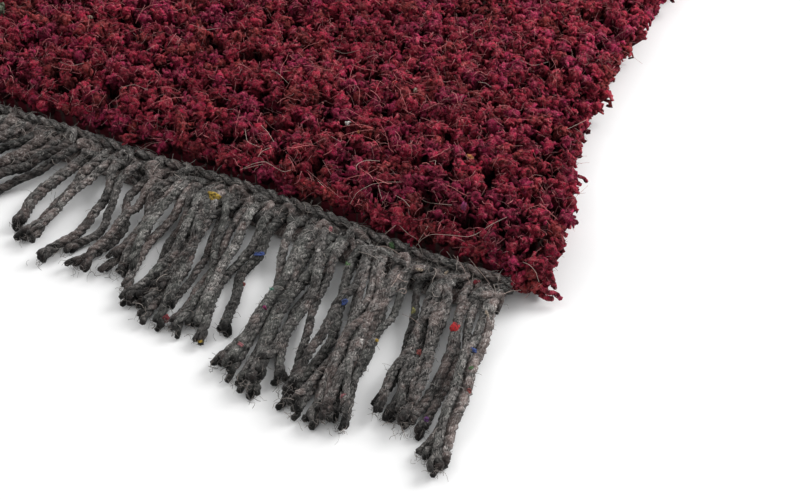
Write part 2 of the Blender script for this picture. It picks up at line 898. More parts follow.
@dataclass
class Studio:
    """The camera at the photograph's angle, soft light and a pale floor."""

    target: tuple[float, float, float] = (0.2625, -0.443, 0.0)
    azimuth: float = 24.5
    elevation: float = 42.0
    distance: float = 0.480
    lens: float = 67.5
    sensor: float = 36.0
    floor_size: float = 12.0
    floor_tone: float = 0.93
    grain_scale: float = 300.0
    sky_strength: float = 0.72
    soft_boxes: tuple[SoftBox, ...] = (
        SoftBox("soft_box_back", (0.85, 0.30, 0.64), 0.6, 10.6),
        SoftBox("soft_box_left", (-0.95, -0.55, 1.35), 1.0, 4.4),
    )

    def axes(self) -> tuple[Array, Array, Array]:
        """The camera's forward, right and up directions."""
        turn, tilt = math.radians(self.azimuth), math.radians(self.elevation)
        forward = np.array([
            -math.sin(turn) * math.cos(tilt), math.cos(turn) * math.cos(tilt), -math.sin(tilt),
        ])
        right = np.array([math.cos(turn), math.sin(turn), 0.0])
        return forward, right, np.cross(right, forward)

    def eye(self) -> Array:
        """Where the camera stands."""
        return np.array(self.target) - self.distance * self.axes()[0]

    def focal(self) -> float:
        """The focal length in pixels: the image's width times lens over sensor."""
        return IMAGE_WIDTH * self.lens / self.sensor

    def pixels(self, points: Array) -> tuple[Array, Array]:
        """Image coordinates of points: their offset from the eye over their depth.

        Args:
            points: (count, 3).

        Returns:
            Column and row, from the top left.
        """
        forward, right, up = self.axes()
        offset = points - self.eye()
        depth = offset @ forward
        column = IMAGE_WIDTH / 2.0 + self.focal() * (offset @ right) / depth
        return column, IMAGE_HEIGHT / 2.0 - self.focal() * (offset @ up) / depth

    def ray(self, column: float, row: float) -> Array:
        """The direction from the eye through a pixel."""
        forward, right, up = self.axes()
        across, down = column - IMAGE_WIDTH / 2.0, row - IMAGE_HEIGHT / 2.0
        return unit(self.focal() * forward + across * right - down * up)

    def sees(self, points: Array, margin: float) -> Array:
        """Which points fall in the image, or within a margin of pixels round it."""
        column, row = self.pixels(points)
        across = (column > -margin) & (column < IMAGE_WIDTH + margin)
        return across & (row > -margin) & (row < IMAGE_HEIGHT + margin)

    def add_camera(self) -> None:
        """Puts the camera in the scene."""
        data = bpy.data.cameras.new("camera")
        data.lens = self.lens
        data.sensor_width = self.sensor
        data.clip_start = 0.01
        camera = hang("camera", data)
        camera.location = self.eye()
        camera.rotation_euler = Vector(self.axes()[0]).to_track_quat("-Z", "Y").to_euler()
        bpy.context.scene.camera = camera

    def add_light(self, box: SoftBox) -> None:
        """Hangs a soft box, turned to the photographed corner.

        Args:
            box: its name, place, side and power.
        """
        data = bpy.data.lights.new(box.name, "AREA")
        data.shape = "SQUARE"
        data.size = box.side
        data.energy = box.power
        light = hang(box.name, data)
        light.location = box.place
        aim = Vector(self.target) - Vector(box.place)
        light.rotation_euler = aim.to_track_quat("-Z", "Y").to_euler()

    def add_floor(self) -> None:
        """A plain pale floor under the rug."""
        graph = Graph("floor_paper")
        grain = graph.noise(graph.place(), self.grain_scale)
        tone = (self.floor_tone,) * 3 + (1.0,)
        colour = graph.scaled(tone, 0.995 + 0.01 * grain)
        half = self.floor_size / 2.0
        mesh = bpy.data.meshes.new("floor")
        corners = [(x * half, y * half, 0.0) for x, y in ((-1, -1), (1, -1), (1, 1), (-1, 1))]
        mesh.from_pydata(corners, [], [(0, 1, 2, 3)])
        mesh.materials.append(graph.finish(colour, Roughness=0.9, Specular_IOR_Level=0.1))
        floor = hang("floor", mesh)

    def add_sky(self) -> None:
        """Even white light from all round."""
        world = bpy.data.worlds.new("studio")
        world.use_nodes = True
        sky = world.node_tree.nodes["Background"]
        sky.inputs["Color"].default_value = (1.0, 1.0, 1.0, 1.0)
        sky.inputs["Strength"].default_value = self.sky_strength
        bpy.context.scene.world = world

    def build(self) -> None:
        """Sets up the whole studio."""
        scene = bpy.context.scene
        scene.view_settings.view_transform = "Standard"
        self.add_camera()
        self.add_floor()
        self.add_sky()
        for box in self.soft_boxes:
            self.add_light(box)


# The rug's pieces


@dataclass
class Tufts:
    """The knots of the pile: where each stands, which way it points and how tall it is."""

    root: Array
    axis: Array
    height: Array
    tone: Array
    hue: Array
    sage: Array

    def pick(self, chosen: Array) -> "Tufts":
        """Only the chosen tufts."""
        return Tufts(*(values[chosen] for values in vars(self).values()))

    def tips(self) -> Array:
        """The middle of each tuft's top."""
        return self.root + self.height[:, None] * self.axis

    def __len__(self) -> int:
        """How many there are."""
        return len(self.root)


class Curl(NamedTuple):
    """A loose ply at the rim: pixels and heights in mm that it passes, and its radius in mm."""

    path: tuple[tuple[float, float, float], ...]
    radius: float


class RimRow(NamedTuple):
    """Rim tufts of one kind: lowest root, rise and heights in mm, tilts in degrees."""

    low: float
    rise: float
    heights: Span
    tilts: Span


@dataclass
class ShagPile:
    """The knotted pile: curly locks where the photograph looks, plain tufts elsewhere.

    Ranges and spreads that random draws use are in mm, angles of the locks in radians.
    """

    outline: Outline
    studio: Studio
    near_pitch: float = 4.6 * MM
    far_pitch: float = 7.0 * MM
    rim_pitch: float = 2.9 * MM
    ground_top: float = 5.0 * MM
    top: float = 17.6 * MM
    lump: float = 2.8 * MM
    lump_waves: Table = ((0.034, 1.2), (0.0126, 0.80))
    height_spread: float = 0.9 * MM
    jitter: float = 0.30
    rim_inset: float = 2.2 * MM
    rim_run: float = 5.2 * MM
    rim_tilt: float = 47.0
    rim_shortening: float = 0.30
    side_row: RimRow = RimRow(3.6, 8.0, (3.4, 4.8), (62.0, 104.0))
    end_row: RimRow = RimRow(9.0, 3.0, (3.6, 4.6), (46.0, 80.0))
    row_inset: float = 3.6 * MM
    corner_row_inset: float = 3.2 * MM
    corner_share: Span = (0.985, 0.990)
    rim_wander: float = 0.22
    strip_end: float = 0.300
    corner_lift: float = 0.15
    wild_lean: float = 8.0
    tone_spread: float = 0.17
    hue_middle: float = 0.47
    end_shade: float = 0.31
    end_run: float = 0.150
    side_fair: float = 0.42
    side_run: float = 0.075
    group_size: float = 0.012
    group_lean: float = 0.28
    locks: int = 10
    lock_spread: float = 2.05 * MM
    lock_radius: float = 0.63 * MM
    lock_profile: Row = (0.85, 1.0, 1.05, 0.75)
    lock_turn: float = 0.382
    lock_tone_spread: float = 0.10
    arc_radius: Span = (0.75, 1.45)
    arc_turn: Span = (1.9, 4.1)
    arc_shares: Row = (0.16, 0.58, 1.0)
    arc_wander: float = 1.3
    arc_flare: float = 0.55
    foot: Span = (1.2, 2.4)
    core_radius: float = 1.95 * MM
    core_profile: Row = (0.90, 1.0, 0.78)
    lump_radii: Table = ((3.2, 4.1), (3.7, 4.9))
    lump_lobes: float = 0.26
    lump_sidestep: float = 0.9
    lump_depth: float = 6.0 * MM
    curl_tone: float = 0.42
    curl_depth: float = 0.85
    near_margin: float = 14.0
    overlap_margin: float = 4.0
    pieces: int = 2
    seed: int = 5
    # The photographed corner's tufts: root x, y and z in mm, lean in x and y, height in mm
    corner_tufts: tuple[Row, ...] = (
        (297.5, -441.5, 8.0, 0.1, -0.8, 5.0), (300.5, -442.5, 6.0, 0.1, -0.9, 6.0),
        (301.0, -442.0, 9.5, 0.1, -0.7, 5.5), (303.0, -444.0, 4.5, 0.2, -1.0, 6.0),
        (304.0, -444.5, 7.0, 0.1, -0.8, 6.8), (306.0, -444.5, 4.0, 0.3, -1.0, 5.8),
        (306.0, -443.0, 9.0, 0.4, -0.6, 6.0), (308.0, -445.0, 6.0, 0.6, -0.8, 5.5),
        (309.5, -444.5, 3.5, 0.9, -0.7, 5.0), (310.0, -442.5, 5.0, 1.0, -0.3, 4.6),
    )
    curls: tuple[Curl, ...] = (
        Curl(((538, 276, 8.5), (545, 271, 9.0), (550, 272, 8.5), (553, 279, 7.0), (553, 287, 5.5)), 0.75),
        Curl(((541, 288, 6.0), (548, 293, 5.0), (555, 293, 4.5), (561, 299, 3.0)), 0.80),
        Curl(((546, 285, 6.5), (551, 281, 6.5), (555, 284, 5.5), (555, 289, 4.5)), 0.62),
        Curl(((540, 294, 4.0), (546, 298, 3.2), (553, 299, 2.6)), 0.85),
        Curl(((570, 181, 11.0), (576, 182, 10.5), (581, 185, 9.5)), 0.70),
        Curl(((578, 176, 12.0), (584, 178, 11.5), (587, 182, 10.5)), 0.60),
    )
    motif_x: float = 0.0760
    motif_y: float = 0.4035
    motif_half_x: float = 0.0115
    motif_half_y: float = 0.0070

    def _lumps(self, x: Array, y: Array) -> Array:
        """The lumpiness of the solid's top at each spot: a share of each noise."""
        spots = [Vector((px, py, 0.0)) for px, py in zip(x.tolist(), y.tolist())]
        heights = [
            sum(share * noise.noise(spot / length) for length, share in self.lump_waves) for spot in spots
        ]
        return self.lump * np.array(heights)

    def _group_lean(self, x: Array, y: Array) -> Array:
        """How each tuft leans with its neighbours, by a noise that is seeded to be the same each run."""
        noise.seed_set(self.seed)
        spots = [Vector((px, py, 0.5)) for px, py in zip(x.tolist(), y.tolist())]
        leans = [noise.noise_vector(spot / self.group_size)[:2] for spot in spots]
        return self.group_lean * np.array(leans)

    def _sage(self, x: Array, y: Array) -> Array:
        """One inside the small sage lozenge near each corner, where |x| and |y| sum short."""
        across = np.abs(np.abs(x) - self.motif_x) / self.motif_half_x
        along = np.abs(np.abs(y) - self.motif_y) / self.motif_half_y
        return (across + along < 1.0).astype(float)

    def _field(self, pitch: float, rng: Rng) -> Tufts:
        """The tufts in rows: a staggered grid that follows the outline.

        Near the rim the axis tilts outwards by rim_tilt exp(-distance / rim_run).

        Args:
            pitch: from tuft to tuft.
            rng: the seeded source.

        Returns:
            The tufts.
        """
        columns = round(self.outline.width / pitch)
        rows = round(self.outline.length / pitch)
        step_u, step_v = 2.0 / columns, 2.0 / rows
        u, v = np.meshgrid(
            (np.arange(columns) + 0.5) * step_u - 1.0, (np.arange(rows) + 0.5) * step_v - 1.0,
        )
        stagger = 0.25 * step_u * np.where(np.arange(rows) % 2 == 0, 1.0, -1.0)[:, None]
        aside = rng.uniform(-self.jitter, self.jitter, u.shape) * step_u
        onwards = rng.uniform(-self.jitter, self.jitter, v.shape) * step_v
        u = np.clip(u + stagger + aside, -1.0, 1.0).ravel()
        v = np.clip(v + onwards, -1.0, 1.0).ravel()
        x, y = self.outline.spot(u, v, self.rim_inset)
        from_side = (1.0 - np.abs(u)) * self.outline.half_width(u, v)
        from_end = (1.0 - np.abs(v)) * self.outline.half_length(u, v)
        push_x = np.sign(u) * np.exp(-from_side / self.rim_run)
        push_y = np.sign(v) * np.exp(-from_end / self.rim_run)
        push = np.hypot(push_x, push_y)
        tilt = np.radians(self.rim_tilt) * np.minimum(push, 1.0)
        outwards = np.stack([push_x, push_y], axis=1) / np.maximum(push, 1e-9)[:, None]
        wild = np.radians(rng.normal(0.0, self.wild_lean, (len(u), 2))) + self._group_lean(x, y)
        axis = unit(np.column_stack([np.sin(tilt)[:, None] * outwards + wild, np.cos(tilt)]))
        top = self.top + self._lumps(x, y) + rng.normal(0.0, self.height_spread, len(x))
        height = (top - self.ground_top) * (1.0 - self.rim_shortening * np.minimum(push, 1.0))
        root = np.column_stack([x, y, np.full(len(x), self.ground_top)])
        return self._dyed(rng, root, axis, height)

    def _rim(self, rng: Rng) -> Tufts:
        """Last rows that hang outwards: low ones down the sides, high ones over the strips.

        Args:
            rng: the seeded source.

        Returns:
            The tufts, those of the photographed corner last.
        """
        sides = round(self.outline.length / self.rim_pitch)
        ends = round(self.outline.width / self.rim_pitch)
        along_v = np.linspace(-1.0, 1.0, sides)
        along_u = np.linspace(-1.0, 1.0, ends)
        u = np.concatenate([np.ones(2 * sides), -np.ones(2 * sides), along_u, along_u])
        v = np.concatenate([along_v, along_v, along_v, along_v, np.ones(ends), -np.ones(ends)])
        count = len(u)
        side, end = self.side_row, self.end_row
        on_side = np.arange(count) < 4 * sides
        corner = (np.abs(u) > self.corner_share[0]) & (np.abs(v) > self.corner_share[1])
        x, y = self.outline.spot(u, v, np.where(corner, self.corner_row_inset, self.row_inset))
        sideways = np.where(on_side | corner, np.sign(u), 0.0)
        endways = np.where(~on_side | corner, np.sign(v), 0.0)
        wander = rng.normal(0.0, self.rim_wander, (count, 2))
        outwards = unit(np.column_stack([sideways, endways]) + wander)
        tilts = (rng.uniform(*row.tilts, count) for row in (side, end))
        tilt = np.radians(np.where(on_side, *tilts))
        axis = np.column_stack([np.sin(tilt)[:, None] * outwards, np.cos(tilt)])
        bare = on_side | (np.abs(x) > self.strip_end)
        rise = rng.uniform(0.0, 1.0, count) * np.where(bare, side.rise, end.rise) * MM
        root = np.column_stack([x, y, np.where(bare, side.low, end.low) * MM + rise])
        height = np.where(bare, *(rng.uniform(*row.heights, count) for row in (side, end))) * MM
        extra = np.array(self.corner_tufts)
        lean = np.column_stack([extra[:, 3:5], np.full(len(extra), self.corner_lift)])
        return self._dyed(
            rng, np.concatenate([root, extra[:, :3] * MM]), np.concatenate([axis, unit(lean)]),
            np.concatenate([height, extra[:, 5] * MM]),
        )

    def _dyed(self, rng: Rng, root: Array, axis: Array, height: Array) -> Tufts:
        """Gives each tuft its tone and hue at random, and darker wool towards the ends.

        The tone rises inwards by end_shade (0.8 - exp(-distance from the end / end_run)), and
        along the sides, away from the ends, by side_fair exp(-distance from the side / side_run).

        Args:
            rng: the seeded source.
            root: where the tufts stand.
            axis: where they point.
            height: how tall they are.

        Returns:
            The tufts.
        """
        count = len(root)
        from_end = np.maximum(self.outline.length / 2.0 - np.abs(root[:, 1]), 0.0)
        from_side = np.maximum(self.outline.width / 2.0 - np.abs(root[:, 0]), 0.0)
        inwards = 1.0 - np.exp(-from_end / self.end_run)
        fairer = self.end_shade * (inwards - 0.20)
        fairer = fairer + self.side_fair * inwards * np.exp(-from_side / self.side_run)
        tone = np.clip(rng.normal(0.5, self.tone_spread, count) + fairer, 0.05, 1.1)
        hue = np.clip(rng.normal(self.hue_middle, self.tone_spread, count), 0.0, 1.0)
        return Tufts(root, axis, height, tone, hue, self._sage(root[:, 0], root[:, 1]))

    def _depth(self, surface: Surface, tufts: Tufts) -> Array:
        """How far out along its tuft each point is, from 0 between the tufts to 1 at the tip."""
        root, axis, height = map(surface.spread, (tufts.root, tufts.axis, tufts.height))
        along = np.sum((surface.points - root) * axis, axis=1) / height
        return np.clip((along - 0.45) / 0.5, 0.0, 1.0)

    def _painted(self, surface: Surface, tufts: Tufts, tubes: int, rng: Rng) -> Surface:
        """Paints tone, hue, sage and depth on tubes that are in the order of their tufts.

        Args:
            surface: the tubes.
            tufts: the tufts.
            tubes: how many tubes each tuft has; where it has several, they differ a little.
            rng: the seeded source.

        Returns:
            The surface.
        """
        spread = self.lock_tone_spread if tubes > 1 else 0.0
        tone = np.repeat(tufts.tone, tubes) + rng.normal(0.0, spread, tubes * len(tufts))
        hue = np.repeat(tufts.hue, tubes) + rng.normal(0.0, 0.7 * spread, tubes * len(tufts))
        surface.paint_tubes(tone=np.clip(tone, 0.0, 1.1), hue=hue, sage=tufts.sage)
        return surface.paint("depth", self._depth(surface, tufts))

    def _curly(self, tufts: Tufts, rng: Rng, sides: int = 3, loose: float = 1.0) -> Surface:
        """Tufts of curly locks: thin plies that coil over the rounded head of a core.

        A lock starts on the head's side and turns in an arc: its point is
        start + r (1 - cos a) across + r sin(a) up, with across and up tilted at random.

        Args:
            tufts: the tufts.
            rng: the seeded source.
            sides: points round a lock.
            loose: how far the locks stand off, as a share of the usual.

        Returns:
            The locks and the cores under them.
        """
        count = len(tufts) * self.locks
        axis = np.repeat(tufts.axis, self.locks, axis=0)
        tops = np.repeat(tufts.tips(), self.locks, axis=0)
        turn = TAU * np.tile(np.arange(self.locks), len(tufts)) * self.lock_turn
        turn = turn + np.repeat(rng.uniform(0.0, TAU, len(tufts)), self.locks)
        turn = turn + rng.normal(0.0, 0.35, count)
        helper = np.where(np.abs(axis[:, :1]) < 0.8, [[1.0, 0.0, 0.0]], [[0.0, 1.0, 0.0]])
        first = unit(np.cross(axis, helper))
        second = np.cross(axis, first)
        outwards = turned_to(turn[:, None], first, second)
        ring = np.tile(np.sqrt((np.arange(self.locks) + 0.6) / self.locks), len(tufts))[:, None]
        spread = loose * self.lock_spread * ring * rng.uniform(0.80, 1.20, (count, 1))
        drop = (0.4 + 2.3 * ring**2) * MM + rng.uniform(-0.3, 1.1, (count, 1)) * MM
        curl_turn = (turn + rng.normal(0.0, self.arc_wander, count))[:, None]
        across = turned_to(curl_turn, first, second)
        up = unit(axis + self.arc_flare * outwards + rng.normal(0.0, 0.30, (count, 3)))
        across = unit(across - dot(across, up) * up)
        arc = loose * rng.uniform(*self.arc_radius, (count, 1)) * MM
        arc_turn = rng.uniform(*self.arc_turn, (count, 1))
        start = tops + outwards * spread - axis * (arc + drop)
        stations = [start - up * rng.uniform(*self.foot, (count, 1)) * MM]
        for share in self.arc_shares:
            angle = arc_turn * share
            stations.append(start + arc * (1.0 - np.cos(angle)) * across + arc * np.sin(angle) * up)
        paths = np.stack(stations, axis=1)
        radii = self.lock_radius * rng.uniform(0.70, 1.30, (count, 1)) * np.array(self.lock_profile)
        locks = sweep(paths, radii, sides, rng.uniform(-0.12, 0.12, (count, 4, sides)))
        self._painted(locks, tufts, self.locks, rng)
        tall = tufts.height[:, None]
        levels = (np.full_like(tall, 0.4 * MM), tall - 3.2 * MM, tall - 1.5 * MM)
        spine = np.stack([tufts.root + tufts.axis * level for level in levels], axis=1)
        girth = self.core_radius * np.array(self.core_profile)
        girth = girth * rng.uniform(0.85, 1.12, (len(tufts), 1))
        cores = sweep(spine, girth, 6, rng.uniform(-0.18, 0.18, (len(tufts), 3, 6)))
        self._painted(cores, tufts, 1, rng)
        cores.values["depth"] = 0.75 * cores.values["depth"]
        return Surface.joined([locks, cores])

    def _plain(self, tufts: Tufts, rng: Rng) -> Surface:
        """Tufts out of the photograph's sight: one bulging, leaning lump each.

        Args:
            tufts: the tufts.
            rng: the seeded source.

        Returns:
            The lumps.
        """
        count = len(tufts)
        tops = tufts.tips()
        sidestep = rng.normal(0.0, self.lump_sidestep, (count, 2)) * MM
        sidestep = np.column_stack([sidestep, np.zeros(count)])
        low = tops - tufts.axis * np.minimum(self.lump_depth, 0.8 * tufts.height)[:, None]
        high = tops - tufts.axis * 1.5 * MM + sidestep
        radii = np.column_stack([rng.uniform(*ends, count) * MM for ends in self.lump_radii])
        lobes = rng.uniform(-self.lump_lobes, self.lump_lobes, (count, 2, 4))
        lumps = sweep(np.stack([low, high], axis=1), radii, 4, lobes)
        self._painted(lumps, tufts, 1, rng)
        lumps.values["depth"] = 0.42 + 0.58 * lumps.values["depth"]
        return lumps

    def _loose_curls(self, rng: Rng) -> Surface:
        """The loose plies at the rim, each where its pixels' rays meet its heights.

        Args:
            rng: the seeded source.

        Returns:
            The plies.
        """
        eye = self.studio.eye()
        parts = []
        for curl in self.curls:
            rays = np.array([self.studio.ray(column, row) for column, row, _ in curl.path])
            heights = np.array([height for _, _, height in curl.path]) * MM
            spots = eye + rays * ((heights - eye[2]) / rays[:, 2])[:, None]
            path = eased(spots, 5)
            radii = curl.radius * MM * rng.uniform(0.85, 1.15, (1, len(path)))
            ply = sweep(path[None], radii, 7, rng.uniform(-0.12, 0.12, (1, len(path), 7)))
            ply.paint("tone", self.curl_tone).paint("hue", rng.uniform(0.4, 0.7)).paint("sage", 0.0)
            parts.append(ply)
        return Surface.joined(parts).paint("depth", self.curl_depth)

    def build(self, wool: PileWool) -> list[Surface]:
        """Makes the pile's pieces.

        Args:
            wool: the finish.

        Returns:
            The surfaces that the camera sees, for what lies on them.
        """
        rng = np.random.default_rng(self.seed)
        material = wool.material("pile_wool")
        close, wide = self._field(self.near_pitch, rng), self._field(self.far_pitch, rng)
        near = close.pick(self.studio.sees(close.tips(), self.near_margin))
        far = wide.pick(~self.studio.sees(wide.tips(), self.near_margin - self.overlap_margin))
        rim = self._rim(rng)
        near_rim = self.studio.sees(rim.tips(), self.near_margin)
        middle = len(near) // 2
        seen = [
            self._curly(near.pick(np.arange(len(near)) < middle), rng),
            self._curly(near.pick(np.arange(len(near)) >= middle), rng),
            self._curly(rim.pick(near_rim), rng, 4, 0.78),
        ]
        seen[2].values["depth"] = 0.34 + 0.66 * seen[2].values["depth"]
        names = ("curly_tufts_a", "curly_tufts_b", "curly_rim")
        for name, surface in zip(names, seen):
            surface.build(name, material, *PILE)
        for index in range(self.pieces):
            share = far.pick(np.arange(len(far)) * self.pieces // len(far) == index)
            self._plain(share, rng).build(f"tufts_{index + 1}", material, *PILE)
        self._plain(rim.pick(~near_rim), rng).build("tufts_rim", material, *PILE)
        self._loose_curls(rng).build("loose_curls", material, *PILE)
        return seen


@dataclass
class GroundWeave:
    """The knotted cloth under the pile: a thin slab that follows the outline."""

    outline: Outline
    top: float = 5.0 * MM
    bottom: float = 0.15 * MM
    inset: float = 4.2 * MM
    corner_inset: float = 1.2 * MM
    columns: int = 26
    rows: int = 38

    def build(self, wool: GroundWool) -> bpy.types.Object:
        """Makes the slab as a closed grid: top and bottom sheets joined round the rim.

        The inset grows by the corner inset times u to the twelfth times v to the twelfth.

        Args:
            wool: the finish.

        Returns:
            The piece.
        """
        wide, tall = self.columns + 1, self.rows + 1
        u, v = np.meshgrid(np.linspace(-1.0, 1.0, wide), np.linspace(-1.0, 1.0, tall))
        x, y = self.outline.spot(u, v, self.inset + self.corner_inset * (u * v) ** 12)
        top, bottom = (
            np.stack([x, y, np.full_like(x, level)], axis=-1).reshape(-1, 3)
            for level in (self.top, self.bottom)
        )
        number = np.arange(wide * tall).reshape(tall, wide)
        a, b = number[:-1, :-1].ravel(), number[:-1, 1:].ravel()
        c, d = number[1:, 1:].ravel(), number[1:, :-1].ravel()
        count = wide * tall
        rim = np.concatenate([number[0, :-1], number[:-1, -1], number[-1, :0:-1], number[:0:-1, 0]])
        after = np.roll(rim, -1)
        quads = np.concatenate([
            np.stack([a, b, c, d], axis=1),
            np.stack([a, d, c, b], axis=1) + count,
            np.stack([rim + count, after + count, after, rim], axis=1),
        ])
        surface = Surface(
            np.concatenate([top, bottom]), quads, np.zeros((0, 3), int),
            np.zeros((len(quads), 4, 2)), np.zeros((0, 3, 2)),
        )
        piece = surface.build("ground_weave", wool.material("ground_wool"), *PILE)
        return piece


@dataclass
class Fringe:
    """One end's fringe: the felted strip, the knots on it and the plied strands.

    Ranges and spreads that random draws use, and the tables of the fall, the strip's
    section and the knots' loop, are in mm.
    """

    end: End
    outline: Outline
    studio: Studio
    yarn_radius: float = 1.95 * MM
    ply_radius: float = 1.00 * MM
    ply_offset: float = 0.70 * MM
    plies: int = 3
    ply_sides: int = 5
    over_strands: int = 26
    over_from: float = 0.175
    near_step: float = 1.35 * MM
    far_step: float = 4.0 * MM
    turns_per_metre: float = 138.0
    tuck: float = 10.0 * MM
    splay: float = 8.0 * MM
    longest: float = 0.060
    ragged: float = 0.15
    ragged_to: float = 0.288
    sway: float = 3.0
    scatter: float = 0.45
    kink: float = 0.55 * MM
    parting: float = 0.035
    bunch_starts: float = 0.40
    bunch_pull: float = 0.45
    tip_neighbours: float = 6.5
    tip_closing: Table = ((0.150, 0.25), (0.180, 0.95), (0.287, 1.0), (0.299, 0.30))
    reach_along: Table = (
        (0.150, 1.0), (0.178, 1.05), (0.205, 1.06), (0.236, 1.08), (0.262, 1.08), (0.287, 1.06),
        (0.293, 1.0),
    )
    sizes_along: Table = ((0.150, 1.10), (0.185, 0.94), (0.245, 0.93), (0.285, 1.00))
    fall: Table = (
        (-10.0, 3.6), (-6.0, 5.9), (-1.0, 6.9), (5.0, 6.5), (12.0, 4.8), (19.0, 2.9), (27.0, 1.9),
        (90.0, 1.9),
    )
    hump: Span = (-1.2, 1.7)
    yarn_width: float = 4.0 * MM
    ride: float = 3.0 * MM
    over_shifts: tuple[float, float, float] = (1.6, 5.2, 2.8)
    over_lift: float = 2.9 * MM
    looseness: Span = (0.2, 1.5)
    cut: Span = (-2.6, 1.8)
    roughness: float = 0.045
    loop: tuple[tuple[float, float, float], ...] = (
        (-2.7, 1.0, 3.6), (-2.0, 4.6, 6.9), (0.5, 7.2, 8.7), (2.6, 5.4, 7.0), (1.3, 1.6, 3.8),
    )
    loop_pivot: float = 4.4 * MM
    strip_half: float = 0.3005
    strip_coarse_to: float = 0.090
    strip_wide: float = 7.1
    strip_tall: float = 2.15
    strip_middle: float = 2.25 * MM
    strip_taper: float = 13.0 * MM
    near_margin: float = 24.0
    seed: int = 71
    cut_ends: Array = field(default_factory=lambda: np.zeros((0, 3)))

    def _centre(self, step: float) -> Array:
        """The middle line of every strand.

        The height follows the fall table, smoothed, with a hump of its own for each strand.
        In plan the line sways by a sine that is nothing at its root and draws towards the
        middle of its bunch; towards the tips the leans even out over a few neighbours, so
        that the bunches close up again. Where two lines come closer than a yarn's width,
        every second one rides over its neighbours.

        Args:
            step: the length between points.

        Returns:
            Points, (strands, stations, 3).
        """
        plan = StrandPlan(self.end, self.outline)
        rng = np.random.default_rng(self.seed + self.end.value)
        root_x, slope, reach = plan.routes()
        count = len(root_x)
        reach = reach * (1.0 - self.ragged * rng.random(count) ** 2 * (root_x < self.ragged_to))
        reach = reach * np.interp(root_x, *zip(*self.reach_along))
        stations = round((self.longest + self.tuck) / step)
        share = np.linspace(0.0, 1.0, stations)[None, :]
        out = -self.tuck + (reach[:, None] - 0.5 * MM + self.tuck) * share
        beyond = np.maximum(out, 0.0)
        run = beyond / reach[:, None]
        sway = rng.normal(0.0, self.sway, (count, 1)) * MM
        phase = rng.uniform(0.0, TAU, (count, 1))
        x = root_x[:, None] + slope[:, None] * beyond + rng.normal(0.0, self.scatter, (count, 1)) * MM
        x = x + sway * np.minimum(run * 1.5, 1.0) * np.sin(phase + 3.6 * run)
        x = x + rng.normal(0.0, self.kink, (count, 1)) * np.sin(3.0 * phase + 15.0 * run)
        parted = np.abs(np.diff(slope, prepend=slope[0])) > self.parting
        bunch = np.cumsum(parted | (rng.random(count) < self.bunch_starts))
        members = (bunch[None, :] == np.unique(bunch)[:, None]).astype(float)
        middles = members.T @ ((members @ x) / members.sum(axis=1, keepdims=True))
        x = x + self.bunch_pull * np.clip(run * 2.2, 0.0, 1.0) * (middles - x)
        number = np.arange(count)
        near = np.exp(-0.5 * (np.subtract.outer(number, number) / self.tip_neighbours) ** 2)
        lean = x - root_x[:, None]
        even = (near @ lean) / near.sum(axis=1, keepdims=True)
        closing = np.interp(root_x, *zip(*self.tip_closing))[:, None]
        closing = closing * np.clip((run - 0.45) / 0.5, 0.0, 1.0) ** 1.5
        x = x + closing * (even - lean)
        x = np.clip(x, *X_LIMITS)
        start = self.outline.end_line(root_x, self.end, plan.strip_gap + plan.strip_depth)
        y = start[:, None] + self.end.value * out
        gap = np.diff(x, axis=0)
        edge = np.full((1, stations), 9.0 * MM)
        gap = np.minimum(np.concatenate([edge, gap]), np.concatenate([gap, edge]))
        crowded = np.clip((self.yarn_width - gap) / (1.1 * MM), 0.0, 1.0)
        above = (number % 2)[:, None] * crowded
        above = above * np.clip((beyond - 3.0 * MM) / (16.0 * MM), 0.0, 1.0)
        places, heights = (np.array(column) * MM for column in zip(*self.fall))
        z = np.interp(out, places, heights)
        hump = rng.uniform(*self.hump, (count, 1)) * MM
        z = z + hump * np.exp(-(((out - 1.0 * MM) / (6.0 * MM)) ** 2)) + self.ride * above
        z = smoothed(z, max(2, round(4.0 * MM / step)), 1)
        z = z + rng.uniform(0.0, 0.7, (count, 1)) * MM * run**2
        return np.stack([x, y, z], axis=-1)

    def _laid_over(self, lines: Array, rng: Rng) -> Array:
        """More strands that lie aslant over those at the photographed corner.

        Each follows one of the others, moved aside by a straight and a bowed part, and is
        lifted where a line under it is nearer than a yarn's width.

        Args:
            lines: middle lines of the strands under them.
            rng: the seeded source.

        Returns:
            Their middle lines.
        """
        able = np.flatnonzero(lines[:, 0, 0] > self.over_from)
        over = lines[rng.choice(able, self.over_strands, replace=True)]
        count, stations, _ = over.shape
        share = np.linspace(0.0, 1.0, stations)[None, :]
        root, aslant, bow = (rng.normal(0.0, size, (count, 1)) * MM for size in self.over_shifts)
        x = over[..., 0] + root + aslant * share + bow * np.sin(math.pi * share)
        over[..., 0] = np.clip(x, *X_LIMITS)
        start = over[:, :1, 1].copy()
        over[..., 1] = start + (over[..., 1] - start) * rng.uniform(0.88, 1.03, (count, 1))
        under = lines[:, ::2, :2].reshape(-1, 2)
        lift = np.zeros((count, stations))
        for index, line in enumerate(over):
            nearest = np.linalg.norm(line[:, None, :2] - under[None], axis=2).min(axis=1)
            lift[index] = np.clip(1.25 - nearest / (3.4 * MM), 0.0, 1.0)
        lift = smoothed(lift, 8, 1)
        over[..., 2] += self.over_lift * lift * np.clip((share - 0.12) / 0.22, 0.0, 1.0)
        return over

